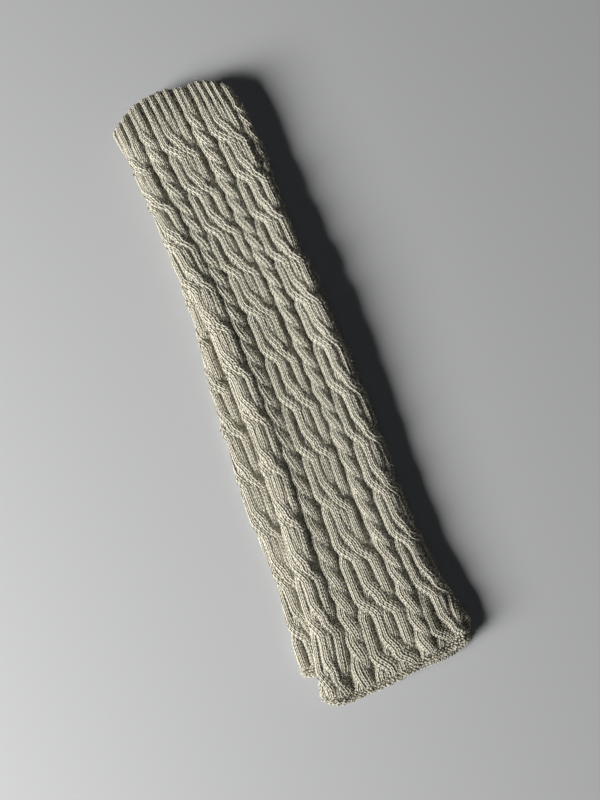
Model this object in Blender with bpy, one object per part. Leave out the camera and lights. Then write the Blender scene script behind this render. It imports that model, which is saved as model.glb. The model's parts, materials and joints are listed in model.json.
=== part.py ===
"""A pair of hand-knitted cable leg warmers, lying flat, one on the other.

Each leg warmer is one tube of thick wool, knitted in the round in a single piece: a ribbed
cuff, a leg of wide four-strand cables with a two-strand rope between each pair, and a bumpy
cast-off hem. Both tubes are pressed flat, so each has a front and a back wall with only a slit
between them, open at the cuff and at the hem. The second tube lies askew under the first.

Sizes in the tables are millimetres. +Y runs towards the cuffs, +X to the right of the front,
+Z up from the surface that the pair lies on.
"""

import math
from collections import namedtuple

import bmesh
import bpy

MM = 0.001

# ---------------------------------------------------------------- the knitted cloth, in mm
CABLE_STRAND = 6.65       # one strand of a wide cable: three knit columns
ROPE_STRAND = 5.5         # one strand of a rope: two knit columns
PURL_GAP = 1.8            # purl valley on each side of a rope
RELIEF = 3.0              # height of a strand above the purl ground
INNER_VALLEY = 0.1        # share of the relief left between two strands of one cable
CROSSING_LIFT = 0.15      # share by which the strand on top rises in a crossing
CROSSING_DIP = 1.0        # share by which the strand below sinks in a crossing
GROUND_WALL = 2.6         # purl ground of the front wall
BACK_WALL = 3.6           # back wall, its cables pressed flat
SLIT = 0.8                # space left between the two walls
EDGE_WALL = 3.4           # wall at the two folded sides
EDGE_RADIUS = 9.0         # half-width of the rounding at a folded side
SEAM_GAP = 0.4            # clearance kept between the two tubes

RELIEF_ENDS = math.radians(85)    # round a side, the relief starts to die away here
RELIEF_FADE = math.radians(40)

CABLE_WIDTH = 4 * CABLE_STRAND
ROPE_WIDTH = 2 * ROPE_STRAND
PITCH = (CABLE_WIDTH + ROPE_WIDTH) / 2 + PURL_GAP     # cable centre to rope centre
TUBE_GROUND = BACK_WALL + SLIT + GROUND_WALL          # thickness without the relief
ARC_LENGTH = math.pi * math.hypot(EDGE_RADIUS, TUBE_GROUND / 2) / math.sqrt(2)

# ---------------------------------------------------------------- crossings down the leg
CROSSINGS = 23            # rows of crossings, taken in turn by the outer and inner strands
FIRST_CROSSING = 34.6     # from the cuff's edge to the first crossing
CROSSING_STEP = 17.15     # from one crossing to the next
STRETCH_AFTER = 8         # the knit is drawn longer below this crossing
STRETCH = 0.7             # and by this much
STRETCH_POWER = 1.6
CROSSING_REACH = 0.40     # half-length of a crossing, as a share of the step
RINGS_PER_CROSSING = 3
SHOULDERS = (0.0, 0.3, 0.7)       # mesh columns over a strand, as shares of its width
SLIT_POINTS = 9           # points across each wall inside the tube
SLIT_RING_EVERY = 5       # the plain inside has one ring for this many outer ones

# ---------------------------------------------------------------- where the pair lies
ORIGIN_X = -7.8           # middle of the pair's outline, which becomes the origin
ORIGIN_Y = 15.0
LOWER_TOP = 8.6           # height of the lower tube where the upper one presses on it
PRESSED = LOWER_TOP - TUBE_GROUND
COVER_FADE = 5.0          # the lower tube turns plain within this distance of the upper's side
SLIVER_X = 45.0           # right of this the lower tube is out from under the upper one
SLIVER_FADE = 3.0
SIDE_FALL = 40.0          # distance in which the upper tube sinks beside the lower one
END_FALL = 36.0           # and past its ends
END_MARGIN = 6.0          # kept level this far past an end

# Upper leg warmer: sides of the purl ground and middles of its strands at each height.
# strand_a is the right strand of the cable at the left side, roll is the lift of that side.
UpperRow = namedtuple("UpperRow", "y left right strand_a rope_1 cable_b rope_2 cable_c roll")
UPPER_ROWS = (
    UpperRow(267, -61.0, 32.5, -51.5, -42.5, -23.5, -3.0, 15.5, 0.0),
    UpperRow(222, -56.0, 37.5, -47.8, -38.0, -17.8, 1.5, 21.5, 0.0),
    UpperRow(200, -55.3, 38.8, -46.0, -36.0, -15.7, 4.5, 24.5, 0.0),
    UpperRow(165, -53.2, 39.4, -40.3, -30.0, -12.8, 7.5, 27.0, 0.0),
    UpperRow(125, -51.6, 40.0, -34.8, -26.5, -8.5, 10.7, 29.0, 0.3),
    UpperRow(85, -45.5, 44.0, -32.2, -24.2, -5.0, 14.5, 31.7, 1.5),
    UpperRow(45, -44.2, 46.2, -31.0, -22.8, -2.7, 16.2, 35.5, 2.6),
    UpperRow(0, -43.8, 47.8, -30.7, -22.3, -2.5, 18.0, 37.0, 3.0),
    UpperRow(-40, -44.6, 48.4, -31.6, -22.2, -2.5, 19.2, 38.2, 3.0),
    UpperRow(-75, -45.4, 47.3, -33.0, -23.0, -2.5, 18.6, 38.8, 3.0),
    UpperRow(-110, -48.7, 47.3, -34.6, -24.4, -2.5, 19.4, 39.6, 2.6),
    UpperRow(-145, -52.0, 49.8, -36.3, -25.0, -1.0, 23.4, 43.0, 2.0),
    UpperRow(-175, -54.2, 54.0, -38.1, -24.8, 0.0, 25.0, 46.0, 1.0),
    UpperRow(-205, -60.0, 60.0, -43.0, -27.5, -0.5, 25.5, 47.0, 0.2),
    UpperRow(-222, -64.0, 61.5, -46.0, -31.5, -2.0, 25.0, 47.5, 0.0),
    UpperRow(-237, -66.0, 58.5, -48.0, -33.0, -3.0, 24.5, 47.5, 0.0),
)

# Lower leg warmer: it leans to the left towards the hem.
LowerRow = namedtuple("LowerRow", "y left right strand_a")
LOWER_ROWS = (
    LowerRow(240, -50.0, 42.0, -46.0),
    LowerRow(200, -51.0, 41.8, -47.5),
    LowerRow(160, -52.0, 41.0, -49.5),
    LowerRow(120, -53.5, 39.5, -51.0),
    LowerRow(80, -55.3, 37.5, -52.0),
    LowerRow(40, -60.0, 33.0, -52.4),
    LowerRow(0, -64.0, 29.5, -52.4),
    LowerRow(-40, -66.5, 27.0, -52.5),
    LowerRow(-75, -68.0, 25.0, -52.6),
    LowerRow(-120, -66.2, 24.0, -52.6),
    LowerRow(-150, -68.0, 23.5, -52.8),
    LowerRow(-185, -75.5, 25.0, -53.0),
    LowerRow(-212, -78.2, 27.0, -54.0),
)
LOWER_LEAD = 4.0          # its crossings sit this much nearer to the cuff's end

# The edges of the openings bow out: a row gives, at a share of the width from the left, how far
# the front wall's edge stands back from the tube's full length, and how far the back wall's does.
EdgeRow = namedtuple("EdgeRow", "across front back")
UPPER_CUFF_EDGE = (
    EdgeRow(0.0, 16.5, 16.5),
    EdgeRow(0.2, 4.6, 7.0),
    EdgeRow(0.35, 0.8, 4.0),
    EdgeRow(0.5, 0.0, 3.0),
    EdgeRow(0.65, 4.0, 6.0),
    EdgeRow(0.82, 4.6, 8.0),
    EdgeRow(1.0, 15.0, 15.0),
)
UPPER_HEM_EDGE = (
    EdgeRow(0.0, 7.0, 7.0),
    EdgeRow(0.12, 0.6, 3.0),
    EdgeRow(0.25, 0.0, 2.0),
    EdgeRow(0.5, 2.6, 3.0),
    EdgeRow(0.7, 8.0, 3.5),
    EdgeRow(0.88, 10.5, 4.0),
    EdgeRow(1.0, 12.0, 8.0),
)
LOWER_CUFF_EDGE = (
    EdgeRow(0.0, 14.0, 14.0),
    EdgeRow(0.5, 0.0, 2.0),
    EdgeRow(1.0, 14.0, 14.0),
)
LOWER_HEM_EDGE = (
    EdgeRow(0.0, 3.0, 3.0),
    EdgeRow(0.3, 0.0, 1.0),
    EdgeRow(1.0, 3.0, 3.0),
)
EDGE_FADE = 55.0          # the bow of an edge dies away within this length
HEM_BAND = 12.0           # the cables sink into the cast-off band this far from the hem
HEM_BEAD = 1.3            # height of the cast-off bead above the purl ground
RING_GAP = 4.0            # least distance from a ring of the leg to those of the cuff and hem

# Rings of the cuff and the hem: how far from the edge, with the relief's share at each, and at
# the hem the bead's height.
CUFF_RINGS = ((0.0, 0.55), (3.0, 1.0), (14.0, 1.0))
HEM_RINGS = ((HEM_BAND, 0.85, 0.0), (7.0, 0.35, 0.0), (3.5, 0.1, HEM_BEAD), (0.0, 0.0, 0.65))

WOOL_CREAM = (0.60, 0.56, 0.43, 1.0)
WOOL_CREAM_SHADED = (0.56, 0.52, 0.40, 1.0)
WOOL_ROUGHNESS = 0.92

Cable = namedtuple("Cable", "middle strands width lag")


def smoothstep(value):
    """Ease from 0 to 1."""
    value = min(max(value, 0.0), 1.0)
    return value * value * (3.0 - 2.0 * value)


def read_rows(rows, at, field):
    """Read one column of a table at any place of its first column, on a smooth curve."""
    places = [row[0] for row in rows]
    values = [getattr(row, field) for row in rows]
    if places[0] > places[-1]:
        places.reverse()
        values.reverse()
    at = min(max(at, places[0]), places[-1])
    last = len(places) - 1
    index = max(i for i in range(last) if places[i] <= at)
    span = places[index + 1] - places[index]
    share = (at - places[index]) / span

    def slope(i):
        before, after = max(i - 1, 0), min(i + 1, last)
        return (values[after] - values[before]) / (places[after] - places[before]) * span

    rise = values[index + 1] - values[index]
    start, end = slope(index), slope(index + 1)
    return (values[index] + share * start + share ** 2 * (3 * rise - 2 * start - end)
            + share ** 3 * (start + end - 2 * rise))


def crossing_place(index):
    """Distance of a crossing from the cuff's edge of the upper leg warmer."""
    drawn = max(0, index - STRETCH_AFTER) ** STRETCH_POWER
    return FIRST_CROSSING + CROSSING_STEP * index + STRETCH * drawn


def crossing_length(index):
    return crossing_place(index + 1) - crossing_place(index)


def strands_of(cable, down):
    """Middle and height share of each strand of a cable, at a distance down the leg."""
    places = [float(i) for i in range(cable.strands)]
    heights = [1.0] * cable.strands
    down -= cable.lag
    for index in range(CROSSINGS):
        reach = CROSSING_REACH * crossing_length(index)
        progress = (down - crossing_place(index)) / (2 * reach) + 0.5
        if not 0.0 < progress < 1.0:
            continue
        first = 0 if cable.strands == 2 or index % 2 else 1
        moved = smoothstep(progress)
        swell = math.sin(math.pi * progress)
        for left in range(first, cable.strands - 1, 2):
            places[left] = left + moved
            places[left + 1] = left + 1 - moved
            heights[left] = 1.0 + CROSSING_LIFT * swell
            heights[left + 1] = 1.0 - CROSSING_DIP * swell
    half = (cable.strands - 1) / 2
    return [(cable.middle + (place - half) * cable.width, height)
            for place, height in zip(places, heights)]


def knit_relief(cables, offset, down):
    """Height of the knit above the purl ground, as a share of the relief."""
    height = 0.0
    for cable in cables:
        half_width = cable.strands * cable.width / 2
        if abs(offset - cable.middle) > half_width - 0.01:
            continue
        height = INNER_VALLEY
        for middle, lift in strands_of(cable, down):
            across = (offset - middle) / (cable.width / 2)
            if abs(across) < 1.0:
                height = max(height, lift * math.sqrt(1.0 - across * across))
    return height


def strand_columns(cable):
    """Offsets of the mesh columns over a cable: each strand's side and its two shoulders."""
    left = cable.middle - cable.strands * cable.width / 2
    count = cable.strands
    columns = [left + (i + share) * cable.width for i in range(count) for share in SHOULDERS]
    columns.append(left + count * cable.width)
    return columns


class Tube:
    """One leg warmer: a flattened tube read from its tables."""

    def __init__(self, rows, lines, cables, columns, cuff_edge, hem_edge, lead, under_columns):
        self.rows = rows
        self.lines = lines
        self.cables = cables
        self.columns = columns
        self.cuff_edge = cuff_edge
        self.hem_edge = hem_edge
        self.lead = lead
        self.under_columns = under_columns
        self.cuff_y = rows[0].y
        self.hem_y = rows[-1].y

    def line_x(self, offset, y):
        """X of a knit column: the columns spread evenly between the lines of the table."""
        known = [(place, read_rows(self.rows, y, name)) for name, place in self.lines]
        if offset <= known[0][0]:
            return known[0][1] + offset - known[0][0]
        for (low, low_x), (high, high_x) in zip(known, known[1:]):
            if offset <= high:
                return low_x + (high_x - low_x) * (offset - low) / (high - low)
        return known[-1][1] + offset - known[-1][0]

    def roll(self, y):
        return read_rows(self.rows, y, "roll") if "roll" in self.rows[0]._fields else 0.0

    def hidden(self, x, y):
        """Share by which the front is pressed plain under the other tube."""
        return 0.0

    def ground(self, x, y):
        """Height of what the tube lies on."""
        return 0.0

    def front_point(self, offset, y, down, relief_share, bead):
        """A point (x, z) of the section's outer face, over the front and round both sides."""
        left, right = (read_rows(self.rows, y, side) for side in ("left", "right"))
        x = self.line_x(offset, y)
        flat_left, flat_right = left + EDGE_RADIUS, right - EDGE_RADIUS
        roll = self.roll(y)
        relief = max(bead, RELIEF * relief_share * knit_relief(self.cables, offset, down))
        hidden = self.hidden(min(max(x, left), right), y)
        relief += (PRESSED - relief) * hidden
        if flat_left <= x <= flat_right:
            lift = roll * (1.0 - smoothstep((x - flat_left) / (2 * EDGE_RADIUS)))
            return x, TUBE_GROUND + lift + relief
        side, beyond, start = (-1, flat_left - x, flat_left) if x < flat_left \
            else (1, x - flat_right, flat_right)
        half_height = (TUBE_GROUND + (roll if side < 0 else 0.0)) / 2
        angle = math.pi * beyond / ARC_LENGTH
        if angle >= math.pi:
            return start - side * (beyond - ARC_LENGTH), 0.0
        relief *= 1.0 - smoothstep((angle - RELIEF_ENDS) / RELIEF_FADE)
        out_x, out_z = half_height * math.sin(angle), EDGE_RADIUS * math.cos(angle)
        size = math.hypot(out_x, out_z)
        return (start + side * (EDGE_RADIUS * math.sin(angle) + relief * out_x / size),
                half_height * (1.0 + math.cos(angle)) + relief * out_z / size)

    def placed(self, x, y, z, front):
        """Move a section's point to its wall's own end line, and onto what the tube lies on."""
        left, right = (read_rows(self.rows, y, side) for side in ("left", "right"))
        across = (x - left) / (right - left)
        cuff_near = 1.0 - smoothstep((self.cuff_y - y) / EDGE_FADE)
        hem_near = 1.0 - smoothstep((y - self.hem_y) / EDGE_FADE)
        y -= cuff_near * self.edge(self.cuff_edge, across, front)
        y += hem_near * self.edge(self.hem_edge, across, front)
        return x - ORIGIN_X, y - ORIGIN_Y, z + self.ground(x, y)

    @staticmethod
    def edge(rows, across, front):
        """How far an opening's edge stands back: front is 1 on the front wall, 0 on the back."""
        front_back = [read_rows(rows, across, name) for name in ("front", "back")]
        return front_back[0] * front + front_back[1] * (1.0 - front)

    def outer_ring(self, y, relief_share, bead):
        """Outer points of one ring: over the front, then back along the plain underside."""
        down = UPPER_ROWS[0].y - self.lead - y
        section = [self.front_point(offset, y, down, relief_share, bead)
                   for offset in self.columns]
        first, last = section[0][0], section[-1][0]
        left, right = (read_rows(self.rows, y, side) for side in ("left", "right"))
        start, end = min(last, right - EDGE_RADIUS), max(first, left + EDGE_RADIUS)
        count = self.under_columns
        for i in range(count):
            section.append((start + (end - start) * (i + 0.5) / count, 0.0))
        return [self.placed(x, y, z, smoothstep(z / TUBE_GROUND)) for x, z in section]

    def inner_ring(self, y, points):
        """Points of the slit between the walls: along the front wall, then the back wall."""
        left, right = (read_rows(self.rows, y, side) for side in ("left", "right"))
        low, high = left + EDGE_WALL, right - EDGE_WALL
        roll = self.roll(y)
        section = [(low, BACK_WALL + SLIT / 2)]
        xs = [low + (high - low) * (i + 1) / (points + 1) for i in range(points)]
        for x in xs:
            lift = 0.6 * roll * (1.0 - smoothstep((x - left - EDGE_RADIUS) / (2 * EDGE_RADIUS)))
            section.append((x, BACK_WALL + SLIT + lift))
        section.append((high, BACK_WALL + SLIT / 2))
        section.extend((x, BACK_WALL) for x in reversed(xs))
        fronts = [0.5] + [1.0] * points + [0.5] + [0.0] * points
        return [self.placed(x, y, z, front) for (x, z), front in zip(section, fronts)]


class LowerTube(Tube):
    """The tube that lies on the surface, pressed plain where the other one covers it."""

    def hidden(self, x, y):
        cover = read_rows(UPPER_ROWS, y, "left")
        covered = smoothstep((x - cover + 1.0) / COVER_FADE)
        return covered * smoothstep((SLIVER_X - x) / SLIVER_FADE)


class UpperTube(Tube):
    """The tube on top, which sinks towards the surface where the lower one ends."""

    def ground(self, x, y):
        near = min(max(y, LOWER_ROWS[-1].y), LOWER_ROWS[0].y)
        left, right = (read_rows(LOWER_ROWS, near, side) for side in ("left", "right"))
        side = max(left + 1.0 - x, x - right + 1.0)
        end = max(LOWER_ROWS[-1].y - y, y - LOWER_ROWS[0].y) - END_MARGIN
        share = (1.0 - smoothstep(side / SIDE_FALL)) * (1.0 - smoothstep(end / END_FALL))
        return LOWER_TOP * share + SEAM_GAP


def ring_heights(tube):
    """Heights of the rings with the relief's share and the cast-off bead's height at each."""
    top = tube.cuff_y
    rings = [(top - back, share, 0.0) for back, share in CUFF_RINGS]
    start = UPPER_ROWS[0].y - tube.lead
    hem_start = tube.hem_y + HEM_BAND
    for index in range(CROSSINGS):
        length = crossing_length(index)
        for i in range(RINGS_PER_CROSSING):
            shift = (i + 0.5) / RINGS_PER_CROSSING - 0.5
            y = start - crossing_place(index) - shift * length
            if hem_start + RING_GAP < y < rings[0][0] - CUFF_RINGS[-1][0] - RING_GAP:
                rings.append((y, 1.0, 0.0))
    if rings[-1][0] - hem_start > 3 * RING_GAP:
        rings.append(((rings[-1][0] + hem_start) / 2, 1.0, 0.0))
    return rings + [(tube.hem_y + up, share, bead) for up, share, bead in HEM_RINGS]


def distance(first, second):
    return math.dist(first.co, second.co)


def zip_end(mesh, outer, inner, towards_hem):
    """Close the rim of the wall between two rings with unlike numbers of points."""
    i = j = 0
    while i < len(outer) or j < len(inner):
        here_out, here_in = outer[i % len(outer)], inner[j % len(inner)]
        next_out, next_in = outer[(i + 1) % len(outer)], inner[(j + 1) % len(inner)]
        outer_left, inner_left = len(outer) - i, len(inner) - j
        step_out = inner_left == 0 or (
            outer_left > 0 and distance(next_out, here_in) <= distance(here_out, next_in))
        corners = (here_out, next_out, here_in) if step_out else (here_out, next_in, here_in)
        mesh.faces.new(tuple(reversed(corners)) if towards_hem else corners)
        i, j = (i + 1, j) if step_out else (i, j + 1)


def loft(mesh, rings, inside):
    """Join each ring to the next with two triangles a panel, cut along the strands' lean."""
    for above, below in zip(rings, rings[1:]):
        count = len(above)
        for i in range(count):
            after = (i + 1) % count
            panels = ((above[i], below[after], above[after]), (above[i], below[i], below[after]))
            for corners in panels:
                mesh.faces.new(tuple(reversed(corners)) if inside else corners)


def build_tube(name, tube, color, collection):
    """Make the closed solid of one leg warmer: outer face, slit and the two rims."""
    heights = ring_heights(tube)
    mesh = bmesh.new()
    outer = [[mesh.verts.new([c * MM for c in point]) for point in tube.outer_ring(*ring)]
             for ring in heights]
    inner_steps = list(range(0, len(heights), SLIT_RING_EVERY))
    if inner_steps[-1] != len(heights) - 1:
        inner_steps.append(len(heights) - 1)
    inner = [[mesh.verts.new([c * MM for c in point])
              for point in tube.inner_ring(heights[step][0], SLIT_POINTS)]
             for step in inner_steps]
    loft(mesh, outer, inside=False)
    loft(mesh, inner, inside=True)
    zip_end(mesh, outer[0], inner[0], towards_hem=False)
    zip_end(mesh, outer[-1], inner[-1], towards_hem=True)
    data = bpy.data.meshes.new(name)
    mesh.to_mesh(data)
    mesh.free()
    data.shade_smooth()
    data.set_sharp_from_angle(angle=math.radians(50))
    material = bpy.data.materials.new(name + "_wool")
    material.use_nodes = True
    shader = material.node_tree.nodes["Principled BSDF"]
    shader.inputs["Base Color"].default_value = color
    shader.inputs["Roughness"].default_value = WOOL_ROUGHNESS
    shader.inputs["Metallic"].default_value = 0.0
    data.materials.append(material)
    leg_warmer = bpy.data.objects.new(name, data)
    collection.objects.link(leg_warmer)
    return leg_warmer


def make_upper(collection):
    cable_a = Cable(-2 * PITCH, 4, CABLE_STRAND, 0.0)
    rope_1 = Cable(-PITCH, 2, ROPE_STRAND, 0.0)
    cable_b = Cable(0.0, 4, CABLE_STRAND, 0.0)
    rope_2 = Cable(PITCH, 2, ROPE_STRAND, 0.0)
    cable_c = Cable(2 * PITCH, 4, CABLE_STRAND, 3.0)
    rope_3 = Cable(3 * PITCH, 2, ROPE_STRAND, 0.0)
    cables = (cable_a, rope_1, cable_b, rope_2, cable_c, rope_3)
    columns = [place for cable in cables for place in strand_columns(cable)]
    lines = (
        ("strand_a", cable_a.middle + 1.5 * CABLE_STRAND),
        ("rope_1", rope_1.middle),
        ("cable_b", cable_b.middle),
        ("rope_2", rope_2.middle),
        ("cable_c", cable_c.middle),
    )
    tube = UpperTube(UPPER_ROWS, lines, cables, columns, UPPER_CUFF_EDGE, UPPER_HEM_EDGE, 0.0, 9)
    return build_tube("upper_leg_warmer", tube, WOOL_CREAM, collection)


def make_lower(collection):
    cable_a = Cable(-2 * PITCH, 4, CABLE_STRAND, 0.0)
    cable_c = Cable(2 * PITCH, 4, CABLE_STRAND, 0.0)
    plain = [cable_a.middle + CABLE_WIDTH / 2 + 10.0 * i for i in range(1, 4)]
    columns = strand_columns(cable_a) + plain + strand_columns(cable_c)
    lines = (("strand_a", cable_a.middle + 1.5 * CABLE_STRAND),)
    tube = LowerTube(LOWER_ROWS, lines, (cable_a, cable_c), columns, LOWER_CUFF_EDGE,
                     LOWER_HEM_EDGE, LOWER_LEAD, 7)
    return build_tube("lower_leg_warmer", tube, WOOL_CREAM_SHADED, collection)


def main():
    for old in list(bpy.data.objects):
        bpy.data.objects.remove(old, do_unlink=True)
    collection = bpy.data.collections.new("leg_warmers")
    bpy.context.scene.collection.children.link(collection)
    make_lower(collection)
    make_upper(collection)


main()
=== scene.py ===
"""A pair of hand-knitted cable leg warmers in heathered cream wool, lying flat one on the other.

Each leg warmer is one tube of knitting pressed flat. Its wall is a thin shell, read from the
tables below, and the knitting on it is real: every knit stitch is a pair of yarn legs that
follows its strand over and under the crossings, with purl bumps in the valleys, a cast-off
chain round the hem, and loose fibres wherever the cloth shows.

Sizes in the tables and in the knitting functions are millimetres, and the meshes are metres.
+Y runs towards the cuffs, +X to the right of the front, +Z up.
"""

import json
from collections import namedtuple

import bmesh
import bpy
import numpy as np
from bpy.props import FloatProperty, FloatVectorProperty, IntProperty, PointerProperty
from bpy.types import NodeSocket, Operator, Panel, PropertyGroup
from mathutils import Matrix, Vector

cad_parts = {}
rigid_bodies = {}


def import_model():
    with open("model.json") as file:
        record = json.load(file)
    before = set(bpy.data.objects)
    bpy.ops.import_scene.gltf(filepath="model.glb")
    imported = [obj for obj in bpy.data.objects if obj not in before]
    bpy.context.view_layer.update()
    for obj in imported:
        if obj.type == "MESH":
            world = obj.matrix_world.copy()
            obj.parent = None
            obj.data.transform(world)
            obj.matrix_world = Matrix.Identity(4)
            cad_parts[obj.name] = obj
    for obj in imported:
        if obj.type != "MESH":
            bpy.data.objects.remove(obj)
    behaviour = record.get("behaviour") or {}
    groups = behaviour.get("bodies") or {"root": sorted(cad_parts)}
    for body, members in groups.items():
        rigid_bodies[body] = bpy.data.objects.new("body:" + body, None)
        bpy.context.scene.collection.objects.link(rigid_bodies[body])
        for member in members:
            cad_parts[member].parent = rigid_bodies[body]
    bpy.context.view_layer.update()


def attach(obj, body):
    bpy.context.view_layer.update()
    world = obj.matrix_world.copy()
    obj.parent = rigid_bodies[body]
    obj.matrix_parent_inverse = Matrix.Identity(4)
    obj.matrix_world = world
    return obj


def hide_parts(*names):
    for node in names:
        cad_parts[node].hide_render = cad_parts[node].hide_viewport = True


bl_info = {
    "name": "Cable-Knit Leg Warmers",
    "version": (1, 0, 0),
    "blender": (4, 5, 0),
    "location": "View3D > Sidebar > Leg Warmers",
    "description": "Builds a pair of cable-knit wool leg warmers laid flat, one on the other",
    "category": "Object",
}

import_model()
MM = 0.001

# ---------------------------------------------------------------- the knitted cloth, in mm
CABLE_STRAND = 6.65       # one strand of a wide cable: three knit columns
ROPE_STRAND = 5.5         # one strand of a rope: two knit columns
PURL_GAP = 1.8            # purl valley on each side of a rope
RELIEF = 3.6              # height of a strand above the purl ground
GROUND_WALL = 2.6         # purl ground of the front wall
BACK_WALL = 3.6           # back wall, its cables pressed flat
SLIT = 0.8                # space left between the two walls
EDGE_WALL = 3.4           # wall at the two folded sides
LEFT_FOLD = 9.0           # half-width of the rounding at the left folded side
RIGHT_FOLD = 4.8          # the same at the right one
TUBE_GAP = 0.4            # clearance kept between the two tubes
CABLE_WIDTH = 4 * CABLE_STRAND
ROPE_WIDTH = 2 * ROPE_STRAND
PITCH = (CABLE_WIDTH + ROPE_WIDTH) / 2 + PURL_GAP
TUBE_GROUND = BACK_WALL + SLIT + GROUND_WALL
LEFT_ARC, RIGHT_ARC = (np.pi * np.hypot(fold, TUBE_GROUND / 2) / np.sqrt(2)
                       for fold in (LEFT_FOLD, RIGHT_FOLD))
STRAND_A = ("strand_a", -2 * PITCH + 1.5 * CABLE_STRAND)  # last strand of the leftmost cable

# ---------------------------------------------------------------- crossings down the leg, in mm
CROSSINGS = 27
FIRST_CROSSING = 34.6     # from the cuff's edge to the first crossing
CROSSING_STEP = 17.15     # from one crossing to the next, near the cuff
STRETCH_AFTER = 8         # the steps grow after this many crossings: each one lies further on
STRETCH = 0.7             # by this, times its number past them
STRETCH_POWER = 1.6       # to this power
ROPE_STEP_SHARE = 0.87    # a rope's crossings lie closer together than a wide cable's
ROPE_TRAVEL = 4.2         # how far a strand of a rope moves sideways
ROPE_HALF = 4.4           # half the width of a strand of a rope, before it spreads
CABLE_HALF = 3.9          # half the width of a strand of a wide cable
STRAND_POWER = 2.5        # how full a strand's back is: 2 would make it an ellipse
EASED, EVEN = 0.7, 0.3    # shares of a move that ease in and out, and that go on evenly
BASE_SHARE = 0.42         # height of the mass of a wide cable between its strands, as a share
ROPE_BASE_SHARE = 0.80    # the same for a rope
BASE_INSET = 0.5          # how far that mass stays inside the strands' outer flanks
CUFF_RIB_ENDS = (20.0, 32.0)      # the ribs of the cuff widen to full strands between these

Cable = namedtuple("Cable", "middle strands width lag column")
# How the two strands of a crossing move, first the one that goes right and then the one that goes
# left, as shares of a step: how much later than the crossing's own place, half the length of the
# move, how far sideways; then rise (the strand below has a negative one) and spread, with the
# middle and half the length of the stretch that they take up.
Move = namedtuple("Move", "delay reach way rise spread swell_at swell_reach")
CABLE_MOVES = (
    (Move(-0.08, 0.38, 1.25, 0.04, 0.22, 0.0, 0.8),
     Move(-0.02, 0.34, 0.9, -0.26, 0.0, -0.05, 0.6)),
    (Move(0.42, 0.34, 0.7, 0.02, 0.20, 0.45, 0.8),
     Move(0.50, 0.36, 0.95, -0.22, 0.10, 0.4, 0.8)),
    (Move(0.16, 0.30, 1.05, 0.04, 0.18, 0.1, 0.7),
     Move(-0.04, 0.28, 1.15, -0.42, 0.0, -0.04, 0.45)),
)
ROPE_MOVES = (
    (Move(0.0, 0.48, 1.0, 0.10, 0.12, 0.0, 0.6), Move(0.0, 0.48, 1.0, -0.26, 0.0, 0.0, 0.7)),
)

# ---------------------------------------------------------------- where the pair lies, in mm
ORIGIN_X = -7.8           # the tables count from the middle of the photograph, and this point
ORIGIN_Y = 15.0           # of theirs is the world's origin
LOWER_TOP = 8.6           # top of the lower tube where the upper one lies on it
PRESSED = LOWER_TOP - TUBE_GROUND
COVER_FADE = 5.0          # the lower front comes up again over this, beside the upper tube
SIDE_MARGIN = 1.0         # taken off both tubes' sides where one lies on the other
SLIVER_X = 45.0           # the lower tube shows again to the right of this
SLIVER_FADE = 3.0
SIDE_FALL = 40.0          # the upper tube sinks to the floor over this, beside the lower one
END_FALL = 36.0           # and over this beyond its ends,
END_MARGIN = 6.0          # from this far beyond them
LOWER_LEAD = 4.0          # the lower tube's crossings lie this much nearer the hem
EDGE_FADE = 55.0          # the shape of an opening's edge is felt this far into the tube
ROLL_FALL = 17.0          # the roll along the left comes down over this
BULGE_RISE = 17.0         # and the bulge along the right rises over this
SLIT_LIFT = 0.6           # share of the roll and the bulge that the slit inside follows
LEFT_SQUEEZE = 0.8        # the columns lie closer together on the left fold
RIGHT_SQUEEZE = 0.8       # and on the right one
RELIEF_ENDS = np.radians(85)      # the strands keep their height this far round a fold,
RELIEF_FADE = np.radians(40)      # and lose it over this

UPPER_FIELDS = ("y", "left", "right", "strand_a", "rope_1", "cable_b", "rope_2", "cable_c",
                "roll", "bulge")
UPPER_ROWS = (
    (267, -61.0, 32.5, -51.5, -42.5, -23.5, -3.0, 15.5, -1.5, 0.0),
    (222, -56.0, 37.5, -47.8, -38.0, -17.8, 1.5, 21.5, -1.2, 0.0),
    (200, -55.3, 38.8, -46.0, -36.0, -15.7, 4.5, 24.5, 0.0, 0.0),
    (165, -53.2, 39.4, -40.3, -30.0, -12.8, 7.5, 27.0, 1.4, 0.5),
    (125, -51.6, 40.0, -34.8, -26.5, -8.5, 10.7, 29.0, 2.4, 1.2),
    (85, -45.5, 44.0, -32.2, -24.2, -5.0, 14.5, 31.7, 2.8, 2.0),
    (45, -44.2, 46.2, -31.0, -22.8, -2.7, 16.2, 35.5, 3.0, 2.6),
    (0, -43.8, 47.8, -30.7, -22.3, -2.5, 18.0, 37.0, 3.0, 2.8),
    (-40, -44.6, 48.4, -31.6, -22.2, -2.5, 19.2, 38.2, 3.0, 2.8),
    (-75, -45.4, 47.3, -33.0, -23.0, -2.5, 18.6, 38.8, 3.0, 2.8),
    (-110, -48.7, 47.3, -34.6, -24.4, -2.5, 19.4, 39.6, 2.6, 2.8),
    (-145, -52.0, 49.8, -36.3, -25.0, -1.0, 23.4, 43.0, 2.0, 2.8),
    (-175, -54.2, 54.0, -38.1, -24.8, 0.0, 25.0, 46.0, 1.0, 3.0),
    (-205, -60.0, 60.0, -43.0, -27.5, -0.5, 25.5, 47.0, 0.8, 3.2),
    (-222, -64.0, 61.5, -46.0, -31.5, -2.0, 25.0, 47.5, 1.6, 3.6),
    (-237, -66.0, 58.5, -48.0, -33.0, -3.0, 24.5, 47.5, 2.0, 3.6),
)
LOWER_FIELDS = ("y", "left", "right", "strand_a")
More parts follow.
